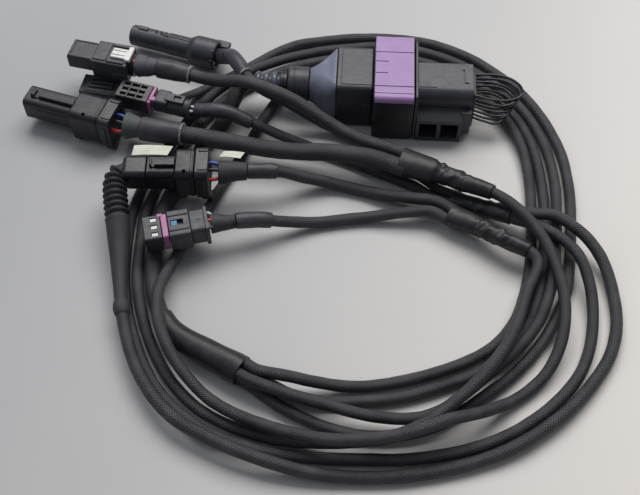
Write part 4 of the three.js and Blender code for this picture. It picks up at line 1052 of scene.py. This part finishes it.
def lock_outline():
    """The lock's section, y and z: a plate with a rounded front edge that turns down as a lip."""
    bend = 2.6
    points = [(lock_back, lock_bottom), (lock_back, lock_top - 0.5), (lock_back - 0.5, lock_top)]
    for share, wide, deep in ((0.26, 0.6, 0.5), (0.80, 0.7, 0.55), (0.91, 0.5, 0.4)):
        y = lock_back - share * (lock_back - lock_front)
        points += [(y + wide / 2, lock_top), (y + wide / 4, lock_top - deep), (y - wide / 4, lock_top - deep),
                   (y - wide / 2, lock_top)]
    for turn in np.radians(np.linspace(90, 180, 8)):
        points.append((lock_front + bend + bend * math.cos(turn), lock_top - bend + bend * math.sin(turn)))
    points += [(lock_front, lock_top - lock_lip + 0.6), (lock_front + 0.6, lock_top - lock_lip),
               (lock_front + 2.4, lock_top - lock_lip), (lock_front + 3.0, lock_top - lock_lip + 0.6),
               (lock_front + 3.0, lock_bottom)]
    return points


def extruded(outline, x0, x1):
    return skinned(np.array([[(x, y, z) for y, z in outline] for x in (x0, x1)], float))


short_lines = [cutter(-11, -3.6, y - 0.3, y + 0.3, lock_top - 0.45, lock_top + 1)
               for y in (2.4, -6.2)]
lock_plate = worked(extruded(lock_outline(), -10.5, 10.5), short_lines, soften=0.3, angle=50)
lock_rails = [block(x - 1.5, x + 1.5, -18, 17.7, socket_height - 4, lock_top - 1, 0.3, 0.2)
              for x in (-rail_x, rail_x)]
fit(main, "lock_slide", [lock_plate, *lock_rails], [lilac], "slide_lock", 40, "slide_lock")


# Plug half. It is pushed into the socket from the right: a block with a rolled front edge, a ledge with two
# square pockets below it, a side tab, and an arrow moulded in its top.
plug_start, plug_end = 13.35, 43.35
plug_front, plug_back, plug_top = -15.5, 8.5, 31.0
ledge_front, ledge_top = -22.5, 17.0


def plug_outline(front, bottom_front):
    nose = 6.0
    points = [(plug_back, 0.5), (plug_back, plug_top - 1.2), (plug_back - 0.35, plug_top - 0.35),
              (plug_back - 1.2, plug_top)]
    for turn in np.radians(np.linspace(90, 180, 10)):
        points.append((front + nose + nose * math.cos(turn), plug_top - nose + nose * math.sin(turn)))
    points += [(front, ledge_top + 3), (bottom_front + 0.8, ledge_top + 0.2), (bottom_front, ledge_top - 0.6),
               (bottom_front, 0.5), (bottom_front + 0.5, 0), (plug_back - 0.5, 0)]
    return points


plug_body = extruded(plug_outline(plug_front, ledge_front), plug_start, plug_end)
pocket_starts = (15.15, 26.95)
pocket_tools = [cutter(x, x + 9.6, ledge_front - 1, ledge_front + 16, 3, 14, 0.6) for x in pocket_starts]
beside_pockets = cutter(plug_start + 25, plug_end + 2, ledge_front - 2, plug_front, -2, 40, 0.01)
arrow_tools = [cutter(37.8, 38.8, -6.5, 3.5, plug_top - 0.8, plug_top + 1),
               cutter(37.8, 40.8, -7.2, -6.2, plug_top - 0.8, plug_top + 1)]
plug_body = worked(plug_body, [beside_pockets, *pocket_tools, *arrow_tools], soften=0.3, angle=50)
plug_tab = block(plug_start + 24.5, plug_end, plug_front - 4, plug_front + 1, 4, 20, 0.8, 0.5)
plug_line = block(plug_start + 0.4, plug_start + 10, -10.6, -10.0, plug_top - 0.6, plug_top + 0.25, 0.15, 0.2)
pocket_lip = block(plug_start + 0.3, plug_start + 25, ledge_front - 0.1, ledge_front + 0.9, ledge_top - 2.4,
                   ledge_top - 0.4, 0.3, 0.3)
pocket_pins = [block(x + 2.6 + 3.2 * k, x + 3.8 + 3.2 * k, ledge_front + 9, ledge_front + 15.9, 7.6, 9.4, 0.2,
                     0.2) for x in pocket_starts for k in (0, 1)]
fit(main, "plug_block", [plug_body, plug_tab, plug_line, pocket_lip, *pocket_pins], [charcoal],
    "plug_housing")


# Jumper wires. Seven thin insulated wires leave the grommet in the plug half's end, loop round and go back
# into it. Both ends are crimped inside the connector. The loops are bundled loosely by hand.
black_wire = clouded_finish("black_wire", (0.014, 0.014, 0.017), (0.034, 0.034, 0.039), (0.20, 0.34))
plate_start = plug_end + piece_gap
plate_end = plate_start + 1.5
grommet = loft(block_stations(plate_start - 0.2, plate_end, 20, 25, 1.5, 0.4, -3.5, 15.5), 5)
grommet_rim = loft(block_stations(plate_start, plate_end - 0.7, 21.4, 26.6, 2.0, 0.3, -3.5, 15.5), 5)
loops = []
loop_count = 7
loop_radius = 0.74
stray = np.random.default_rng(61)
for i in range(loop_count):
    spread = i / (loop_count - 1)
    reach = 26.4 - 8.2 * spread
    high = 25.2 - 1.4 * i
    back = 5.4 - 1.45 * i
    wander = stray.uniform(-0.7, 0.7, 8)
    x = plate_end
    loops.append(wire([
        (x - 1, back, high),
        (x + 0.4 * reach, back - 0.2 + wander[0], high + 0.5 + wander[1]),
        (x + 0.72 * reach, back - 1.8 + wander[2], high - 0.2),
        (x + 0.93 * reach, back - 5.0, high - 1.8 + wander[3]),
        (x + reach, back - 8.6 + wander[4], high - 3.6),
        (x + 0.9 * reach, back - 12.0, high - 5.2 + wander[5]),
        (x + 0.66 * reach, back - 13.6 + wander[6], high - 6.2),
        (x + 0.34 * reach, back - 12.8, high - 6.2 + wander[7]),
        (x - 1, back - 10.2, high - 5.4)], loop_radius, 12, 1))
fit(main, "jumper_loops", [grommet, grommet_rim, *loops], [black, black_wire],
    "jumper_wires", 50)


# Sealed plugs. The left and the lower one are of one family: a shell with the mating cavity and a key rib, a
# wider collar with a latch hole, and a rear retainer that holds four sealed wires. All are nylon mouldings.
red_wire = clouded_finish("red_wire", (0.42, 0.020, 0.030), (0.62, 0.045, 0.055))
blue_wire = clouded_finish("blue_wire", (0.030, 0.060, 0.30), (0.070, 0.120, 0.46))
retainer_length = 7.0
blue_black = moulded_finish("blue_black_plastic", (0.006, 0.006, 0.010), (0.012, 0.012, 0.018), 0.34, 0.50)


def sealed_plug(plug, shell_length, collar_length):
    collar_start = retainer_length + piece_gap
    shell_start = collar_start + collar_length + piece_gap
    shell_end = shell_start + shell_length
    rear = loft([(3.0, 13, 13, 2), (0.4, 13, 13, 2), (0.0, 14, 14, 2.4),
                 *block_stations(0, retainer_length, 20.5, 21, 3.5, 0.6)])
    rear_bar = loft(block_stations(retainer_length * 0.3, retainer_length * 0.7, 22.1, 13, 1, 0.4), 4)
    rear_fins = block_pair(0.3, 5.5, 6.2, 0.6, 9.8, 11.0, 0.3, 0.3)
    rear_latch = block(-1.2, 4.2, 4.5, 9.4, -11.2, -8.6, 0.5, 0.4)
    rear_plug = loft(block_stations(0.9, 2.9, 12.4, 12.4, 2, 0.3), 4)
    wires = []
    for number, (y, z) in enumerate(((-3.0, 4.2), (5.0, 0.5), (1.6, 4.4), (-3.6, -2.6))):
        wires.append(wire([(1.2, y, z), (-0.8, y * 1.04, z * 1.02), (-2.8, y * 0.98, z * 0.97),
                           (-5.6, y * 0.78, z * 0.78)], 1.0 if number < 2 else 0.9))
    fit(plug, "rear", [rear, rear_bar, *rear_fins, rear_latch, rear_plug], [black],
        "retainer")
    fit(plug, "wire_blue", wires[:1], [blue_wire], "blue_wire")
    fit(plug, "wire_red", wires[1:2], [red_wire], "red_wire")
    fit(plug, "wires_black", wires[2:], [black_wire])
    collar = loft(block_stations(collar_start, collar_start + collar_length, 19.5, 20, 4, 0.9))
    hole = lathe([(-12, 1.0), (12, 1.0)], 20)
    hole = (np.asarray(hole[0])[:, [2, 1, 0]] + (collar_start + collar_length * 0.5, 6.75, 5), hole[1])
    collar = worked(collar, [hole])
    collar_ridge = loft(block_stations(collar_start + 0.8, collar_start + 2.2, 20.0, 20.5, 4.2, 0.4))
    collar_lug = block(collar_start + collar_length - 5, collar_start + collar_length - 0.6, 7.5, 9.4, -10.3,
                       -5, 0.5, 0.4)
    fit(plug, "middle", [collar, collar_ridge, collar_lug], [blue_black], "collar")
    inside = (10.8, 11.3)
    shell = loft(block_stations(shell_start, shell_end, 14, 14.5, 3, 0.7)
                 + mouth_stations(shell_end, 12, *inside, 1.6))
    key_top = 14.5 / 2 + 2.2
    key = worked(block(shell_start, shell_end - shell_length * 0.12, -2.4, 2.4, 5, key_top, 0.6, 0.5),
                 [cutter(shell_end - shell_length * 0.3, shell_end - shell_length * 0.2, -3, 3, key_top - 1.4,
                        key_top + 1)])
    flats = block_pair(shell_start + 0.5, shell_end - shell_length * 0.3, 7.05, 0.35, -3.4, 3.4, 0.3, 0.3)
    pins = [block(shell_end - 12.2, shell_end - 4.5, y - 0.5, y + 0.5, z - 0.7, z + 0.7, 0.2, 0.2)
            for y in (-2.4, 2.4) for z in (-2.6, 2.6)]
    fit(plug, "front", [shell, key, *flats, *pins], [blue_black], "shell")
    return shell_end


def declare_lead(name, plug):
    """Gathers the names of the pieces that a lead's cable carries, its plug, heat-shrink and boot; nothing
    keeps them.
    """
    carried = [name + "_lead_shrink"] + ([name + "_lead_boot"] if leads[name]["boot"][0] else [])
    declare_cable(name + "_lead_sleeving", carried + plug["pieces"])


left_plug = connector_at("left_plug", leads["left"]["route"][0], 161.5)
sealed_plug(left_plug, 29.5, 17)
lower_place, lower_heading = leads["lower"]["route"][0], 180
lower_plug = connector_at("lower_plug", lower_place, lower_heading)
lower_shell_end = sealed_plug(lower_plug, 15, 10)
declare_lead("left", left_plug)
declare_lead("lower", lower_plug)


# Moulded plug. Pushed into the lower plug's mouth: soft rubber cast round its contacts, with a rounded elbow
# from which the ribbed relief leaves.
elbow_start = lower_shell_end + piece_gap
elbow_length = 12.6
elbow = loft(block_stations(elbow_start, elbow_start + elbow_length, 14, 14, 3, 0.6)[:4]
             + block_stations(elbow_start, elbow_start + elbow_length, 14, 14, 3, 2.6)[4:])
elbow_core = loft(block_stations(elbow_start - 9, elbow_start + 1, 9, 9, 1.2, 0.4))
moulded_plug = connector_at("moulded", lower_place, lower_heading)
fit(moulded_plug, "plug_elbow", [elbow, elbow_core], [black], "plug")
declare_cable("moulded_lead_sleeving", ["moulded_relief_ribs", *moulded_plug["pieces"]])


# Upper plug. A square block with a flatter nose in front, open at its end, a white position lock clipped into
# its top, a latch at its side and a black seal ring behind.
white = clouded_finish("white_plastic", (0.60, 0.60, 0.58), (0.78, 0.78, 0.76), (0.35, 0.5), 0.004, 4, 0.0006,
                       2, 0.00005)
upper_plug = connector_at("upper_plug", leads["upper"]["route"][0], 166)
upper_start, upper_end = 2.7, 23.7
upper_body = loft(block_stations(upper_start, upper_end, 17, 13, 1.2, 0.5), 4)
lock_seat = cutter(upper_start - 1, upper_start + 11, -3.7, 3.7, 4.5, 9, 0.1)
upper_body = worked(upper_body, [lock_seat])
upper_nose = loft(block_stations(upper_end - 1, upper_end + 15, 14, 9, 1, 0.5, 0, 0.8)
                  + mouth_stations(upper_end + 15, 10, 11.2, 6.2, 0.8, 0, 0.8), 4)
nose_frame = [block(upper_end + 1, upper_end + 14.2, y, y + 0.9, 4.9, 5.75, 0.25, 0.2) for y in (-6.4, 5.5)]
nose_frame.append(block(upper_end + 13.3, upper_end + 14.2, -6.4, 6.4, 4.9, 5.75, 0.25, 0.2))
upper_side = block(upper_start + 1, upper_start + 8, -9.9, -7.5, -4.5, 2.5, 0.5, 0.4)
upper_latch = block(upper_start + 0.5, upper_start + 9, 7.2, 9.2, -6.0, 0.5, 0.5, 0.4)
upper_top = block(upper_start + 12.5, upper_end - 0.6, -6.8, 6.8, 6.0, 7.2, 0.4, 0.4)
upper_arms = block_pair(upper_start + 2, upper_start + 12, 6.2, 1, 6.0, 7.4, 0.4, 0.4)
fit(upper_plug, "block", [upper_body, upper_nose, *nose_frame, upper_side, upper_latch, upper_top,
                          *upper_arms], [charcoal], "housing")
white_body = block(upper_start - 0.8, upper_start + 10.6, -3.6, 3.6, 4.8, 7.9, 0.5, 0.4)
white_grooves = [cutter(upper_start + 2.6, upper_start + 10, y - 0.4, y + 0.4, 7.2, 9, 0.1)
                 for y in (-1.6, 1.6)]
white_bar = block(upper_start - 1.2, upper_start + 1.6, -5.4, 5.4, 7.0, 8.9, 0.6, 0.4)
fit(upper_plug, "white_lock", [worked(white_body, white_grooves), white_bar], [white],
    "lock")
upper_ring = lathe([(0.0, 4.6), (0.0, 6.0), (0.3, 6.4), (0.9, 6.4), (1.2, 6.0), (1.5, 6.4), (2.1, 6.4),
                    (2.4, 6.0), (2.4, 4.6)])
fit(upper_plug, "ring", [upper_ring], [black], "seal", 50)
upper_wires = [wire([(1.0, y, z), (-0.2, y, z), (-2.2, y * 0.8, z * 0.8)], 0.9, number=k)
               for k, (y, z) in enumerate(((1.8, 5.2), (-1.6, 5.3)))]
fit(upper_plug, "wires", upper_wires, [red_wire, black_wire])
declare_lead("upper", upper_plug)


# Barrel plug. A round barrel, open at its end, with a bump and three notches, and a wider collar behind it
# that ends in a latch tab.
barrel_plug = connector_at("barrel_plug", leads["barrel"]["route"][0], 161.5)
barrel_start, barrel_end, barrel_radius = 17.3, 54.3, 6.3
barrel = lathe([(barrel_start, 4.0), (barrel_start, barrel_radius), (barrel_start + 13, barrel_radius),
                (barrel_start + 13.2, barrel_radius - 0.25), (barrel_end - 0.9, barrel_radius - 0.25),
                (barrel_end - 0.4, barrel_radius - 0.5), (barrel_end, barrel_radius - 0.9), (barrel_end, 5.0),
                (barrel_end - 0.2, 4.8), (barrel_end - 14, 4.8)])
notches = [cutter(barrel_end - 17 - 3.2 * i, barrel_end - 15.4 - 3.2 * i, -4.6, 0.4, 4.6, 8)
           for i in range(3)]
barrel = worked(barrel, notches)
bump = block(barrel_end - 10.5, barrel_end - 4.5, -2.6, 0.2, 4.4, 6.9, 0.5, 0.5)
rail = block(barrel_start - 1, barrel_end - 20, -0.6, 0.6, 5.6, 6.7, 0.3, 0.3)
barrel_pins = [lathe([(barrel_end - 14.2, 0.8), (barrel_end - 5, 0.8), (barrel_end - 4.4, 0.3)], 12, y, 0)
               for y in (-2, 2)]
fit(barrel_plug, "front", [barrel, bump, rail, *barrel_pins], [charcoal], "barrel")
collar_hull = lathe([(4.0, 3.0), (4.0, 6.6), (0.3, 6.6), (0.0, 6.9), (0.0, 7.8), (0.6, 8.4), (2, 8.8),
                     (13, 8.8), (14, 8.5), (16.4, 7.2), (17, 6.9), (17, 4)])
collar_tab = block(-5.6, 3, -8.6, -3.2, 1.4, 4.6, 0.9, 0.8)
tab_stem = block(-1, 4, -5.6, -4.2, 3.6, 5.2, 0.3, 0.2)
collar_teeth = [block(0.4, 3.0, 8.2 * math.cos(a) - 0.6, 8.2 * math.cos(a) + 0.6, 8.2 * math.sin(a) - 0.5,
                      8.2 * math.sin(a) + 0.5, 0.2, 0.2) for a in np.radians((20, 60, 330))]
seal_disc = lathe([(1.0, 2.0), (1.0, 5.6), (1.3, 6.2), (3.8, 6.2), (4.0, 3)])
fit(barrel_plug, "rear", [collar_hull, collar_tab, tab_stem, *collar_teeth, numbered(seal_disc, 1)],
    [charcoal, black], "collar", 40)
pale_wire = clouded_finish("pale_wire", (0.50, 0.50, 0.48), (0.72, 0.72, 0.70))
barrel_wires = [wire([(2.0, y, z), (0, y, z), (-1.6, y * 0.8, z * 0.9), (-4, y * 0.4, z * 0.6)], 0.85,
                     number=k) for k, (y, z) in enumerate(((1.6, 3.6), (-1.6, 3.2)))]
fit(barrel_plug, "wires", barrel_wires, [pale_wire, black_wire])
declare_lead("barrel", barrel_plug)


# Flat plug. A low nylon block under the upper plug, open at its end, with ribbed latch plates moulded along
# its top. Its cable goes straight into its back, without a boot or heat-shrink.
flat_plug = connector_at("flat_plug", (-111.9, 103.1, 6), 170)
flat_body = loft(block_stations(0.3, 25, 14, 9, 1, 0.4) + mouth_stations(25, 9, 11.2, 6.2, 0.8), 4)
flat_plate = block(3, 22, -6, 6, 3.9, 5.1, 0.3, 0.3)
flat_ribs = [block(6, 20, y - 0.5, y + 0.5, 4.6, 6.3, 0.3, 0.3) for y in (-3.1, 0, 3.1)]
flat_bridge = [block(x, x + 1.4, -3.6, 3.6, 4.6, 6.0, 0.3, 0.3) for x in (6, 18.6)]
fit(flat_plug, "block", [flat_body, flat_plate, *flat_ribs, *flat_bridge], [charcoal],
    "housing")
declare_cable("flat_cable_sleeving", flat_plug["pieces"])


# Slotted plug. A front housing with slots along its top, a lilac secondary lock pressed in behind it, a round
# rear body with a latch and a flange where the two wires go in.
slotted_plug = connector_at("slotted_plug", leads["slotted"]["route"][0], 163)
slot_front, slot_end = 24.9, 43.9
slot_tools = [cutter(slot_front + 3, slot_end - 2.5, y - 1.1, y + 1.1, 3.4, 6)
              for y in (-3.8, 0, 3.8)]
front = loft(block_stations(slot_front, slot_end, 13, 10, 1, 0.5)
             + mouth_stations(slot_end, 8, 9.8, 5.6, 0.6, 0, -0.6), 4)
front = worked(front, slot_tools)
front_bars = [block(x, x + 1.0, -5.9, 5.9, 4.2, 5.3, 0.3, 0.3) for x in (slot_front + 6.5, slot_front + 12)]
fit(slotted_plug, "front", [front, *front_bars], [black], "housing")
pink = lilac_finish("pink_lilac_plastic", (0.30, 0.100, 0.225), (0.44, 0.165, 0.345))
band = loft(block_stations(22.7, 24.6, 12.9, 9.9, 1, 0.4), 4)
band_foot = block(19.5, 24.2, 1.5, 4.5, 4.2, 5.6, 0.4, 0.4)
fit(slotted_plug, "band", [band, band_foot], [pink], "lock")
slotted_rear = lathe([(0.5, 4.2), (0.5, 5.0), (1.0, 5.4), (9, 5.4), (9.4, 5.1), (10, 5.1), (10.4, 5.4),
                      (20.6, 5.4), (21.3, 4.9), (21.3, 3)])
slotted_rim = lathe([(0.0, 4.2), (0.0, 5.9), (0.4, 6.4), (1.2, 6.4), (1.6, 6.0), (1.6, 4.5)])
slotted_latch = block(4.3, 15.3, -3, 3, 3.9, 6.7, 0.6, 0.5)
slotted_latch = worked(slotted_latch, [cutter(6.2, 10.4, -1.6, 1.6, 5.6, 8)])
slotted_hood = block(13.5, 20.8, -5.2, 5.2, -2, 5.9, 1.6, 0.6)
fit(slotted_plug, "rear", [slotted_rear, slotted_rim, slotted_latch, slotted_hood], [charcoal],
    "body", 40)
slotted_wires = [wire([(1.4, y, z), (0.1, y, z), (-1.4, y * 0.7, z * 0.8), (-2.8, y * 0.5, z * 0.6)], 0.8)
                 for y, z in ((3.6, 2.6), (1.4, 4.2))]
fit(slotted_plug, "wires", slotted_wires, [pale_wire])
declare_lead("slotted", slotted_plug)


# Three-way plug. A front housing with three contacts behind windows, a pink secondary lock round it, a collar
# with a latch window where the blue seal shows, and a rear body with a flange.
three_way = connector_at("three_way", leads["three_way"]["route"][0], 192)
three_front, three_end = 23.9, 32.9
window_tools = [cutter(three_front + 1.6, three_front + 5.4, y - 1.25, y + 1.25, 4.6, 7)
                for y in (-4.5, 0, 4.5)]
mouth_tools = [cutter(three_end - 6, three_end + 1, i * 4.8 - 2.0, i * 4.8 + 2.0, -2.1, 2.1, 0.3)
               for i in (-1, 0, 1)]
three_housing = worked(loft(block_stations(three_front, three_end, 15, 11.5, 1, 0.5), 4),
                       [*window_tools, *mouth_tools])
contacts = [numbered(block(three_front + 1.9, three_front + 5.1, y - 0.95, y + 0.95, 4.3, 5.3, 0.2, 0.2), 1)
            for y in (-4.5, 0, 4.5)]
fit(three_way, "front", [three_housing, *contacts], [charcoal, white], "housing")
three_band = loft(block_stations(20.6, 23.6, 14.8, 11.6, 1, 0.4), 4)
band_hook = block(22.4, 25.4, -7.6, -5.6, 3.4, 6.0, 0.4, 0.4)
fit(three_way, "band", [three_band, band_hook], [pink], "lock")
blue_seal = clouded_finish("blue_silicone", (0.05, 0.16, 0.32), (0.09, 0.25, 0.45), (0.45, 0.6))
three_collar = worked(loft(block_stations(9.3, 20.3, 17, 13, 1.6, 0.6), 5),
                      [cutter(12.4, 19.0, -1.9, 1.9, 4.2, 8, 0.1)])
collar_bars = block_pair(9.8, 20, 4.6, 0.5, 6.0, 7.0, 0.3, 0.3)
collar_cheeks = block_pair(12, 20, 8.0, 0.7, -3.5, 4.5, 0.4, 0.4)
seal_block = numbered(block(15.6, 18.8, -1.7, 1.7, 4.0, 6.2, 0.4, 0.3), 1)
fit(three_way, "middle", [three_collar, *collar_bars, *collar_cheeks, seal_block], [charcoal, blue_seal],
    "collar")
three_rear = loft(block_stations(1.5, 9.2, 14.5, 12, 2, 0.5), 5)
three_rim = loft([(1.6, 11, 9, 2), (0.2, 11, 9, 2), *block_stations(0, 2.0, 16.6, 13.6, 2, 0.4)], 5)
rear_dot = block(4.6, 5.6, -0.5, 0.5, 5.7, 6.3, 0.3, 0.2)
fit(three_way, "rear", [three_rear, three_rim, rear_dot], [charcoal], "body")
three_wire_paths = [[(1.2, -4.6, 3.6), (-0.4, -4.6, 3.6), (-1.6, -4.0, 3.0), (-3.2, -3.0, 2.0)],
                    [(1.2, 0.6, 4.3), (-0.4, 0.6, 4.4), (-1.6, 0.5, 4.0), (-3.2, 0.4, 3.0)],
                    [(1.2, 4.4, 3.0), (-0.4, 4.4, 3.0), (-1.6, 3.8, 2.6), (-3.2, 2.8, 1.8)]]
three_wires = [wire(path, 0.85, number=k) for k, path in enumerate(three_wire_paths)]
fit(three_way, "wires", three_wires, [pale_wire, red_wire, black_wire])
declare_lead("three_way", three_way)


# Labels. Two bare flags of thin cream vinyl with adhesive on one side. They are folded round a wire behind
# the lower plug and lie back over it.
vinyl = clouded_finish("cream_vinyl", (0.52, 0.53, 0.44), (0.68, 0.69, 0.60), (0.3, 0.45), 0.006, 4, 0.003, 3,
                       0.0001)


def flag(name, first, last, width, curl):
    """A thin strip between two level edges, bowed upwards in its middle. Edges are start and end points."""
    top = []
    for t in np.linspace(0, 1, 13):
        for s in (0, 1):
            at = (1 - t) * np.array(first[s]) + t * np.array(last[s])
            top.append(at + np.array((0, 0, curl * math.sin(math.pi * t))))
    top = np.array(top).reshape(13, 2, 3)
    under = top - np.array((0, 0, width))
    rings = np.stack([top[:, 0], top[:, 1], under[:, 1], under[:, 0]], axis=1)
    corners, faces = skinned(rings)
    make_piece(name, [(to_part(corners), faces)], [vinyl], smooth=30)


flag("lower_label", ((-99, 41.5, 25.2), (-99, 51, 22.0)), ((-80, 40.5, 26.4), (-78, 49, 23.5)), 0.25, 0.6)
flag("lead_label", ((-53, 41, 24.6), (-51, 46.5, 22.5)), ((-42, 41, 23.2), (-40, 46.5, 21.4)), 0.25, 0.5)


# Table and light. The harness lies on a pale table top under one broad soft lamp behind and above it, as in a
# workshop by a window. The table top's colour carries painted light: darker and cooler at the left, lighter
# and warmer at the right and towards the front.
def table_finish_with_painted_light():
    finish = start_finish("table_top", roughness=0.6, specular=0.3)
    x, y, _ = split_place(finish, "TexCoord", "Object")[1]
    # Painted light: the colour grows lighter and warmer towards the right and the front of the table.
    across = reckon(finish, "MULTIPLY_ADD", x, 0.90, reckon(finish, "MULTIPLY_ADD", y, -0.48, 0.5))
    tone = add_node(finish, "Mix")
    tone.data_type = "RGBA"
    tone.blend_type = "MULTIPLY"
    tone.inputs["Factor"].default_value = 0.05
    ramp = shades(finish, across, (0.400, 0.405, 0.420), (0.540, 0.536, 0.532), (0.80, 0.765, 0.725))
    join(finish, ramp, tone.inputs[6])
    join(finish, mottle(finish, 0.05, 3), tone.inputs[7])
    join(finish, tone.outputs[2], "Base Color")
    return finish


table_mesh = bpy.data.meshes.new("table_top")
table_net = bmesh.new()
bmesh.ops.create_grid(table_net, x_segments=24, y_segments=24, size=1.6)
table_net.to_mesh(table_mesh)
table_net.free()
table_mesh.materials.append(table_finish_with_painted_light())
table = bpy.data.objects.new("table_top", table_mesh)
table.location = (layout_middle.x, layout_middle.y, -0.0002)
bpy.context.scene.collection.objects.link(table)


def soft_lamp(name, at, size, power, colour):
    lamp = bpy.data.lights.new(name, "AREA")
    lamp.shape = "RECTANGLE"
    lamp.size, lamp.size_y = size
    lamp.energy = power
    lamp.color = colour
    stand = bpy.data.objects.new(name, lamp)
    stand.location = layout_middle + Vector(at)
    stand.rotation_euler = (layout_middle - stand.location).to_track_quat("-Z", "Y").to_euler()
    bpy.context.scene.collection.objects.link(stand)


soft_lamp("ceiling_lamp", (0.15, 0.80, 1.20), (1.5, 0.9), 22.5, (1.0, 0.985, 0.97))
soft_lamp("side_lamp", (-0.9, 0.2, 1.1), (0.8, 0.8), 2.2, (0.90, 0.94, 1.0))
room = bpy.data.worlds.new("room")
bpy.context.scene.world = room
room.use_nodes = True
room.node_tree.nodes["Background"].inputs["Color"].default_value = (0.80, 0.84, 0.92, 1)
room.node_tree.nodes["Background"].inputs["Strength"].default_value = 0.21
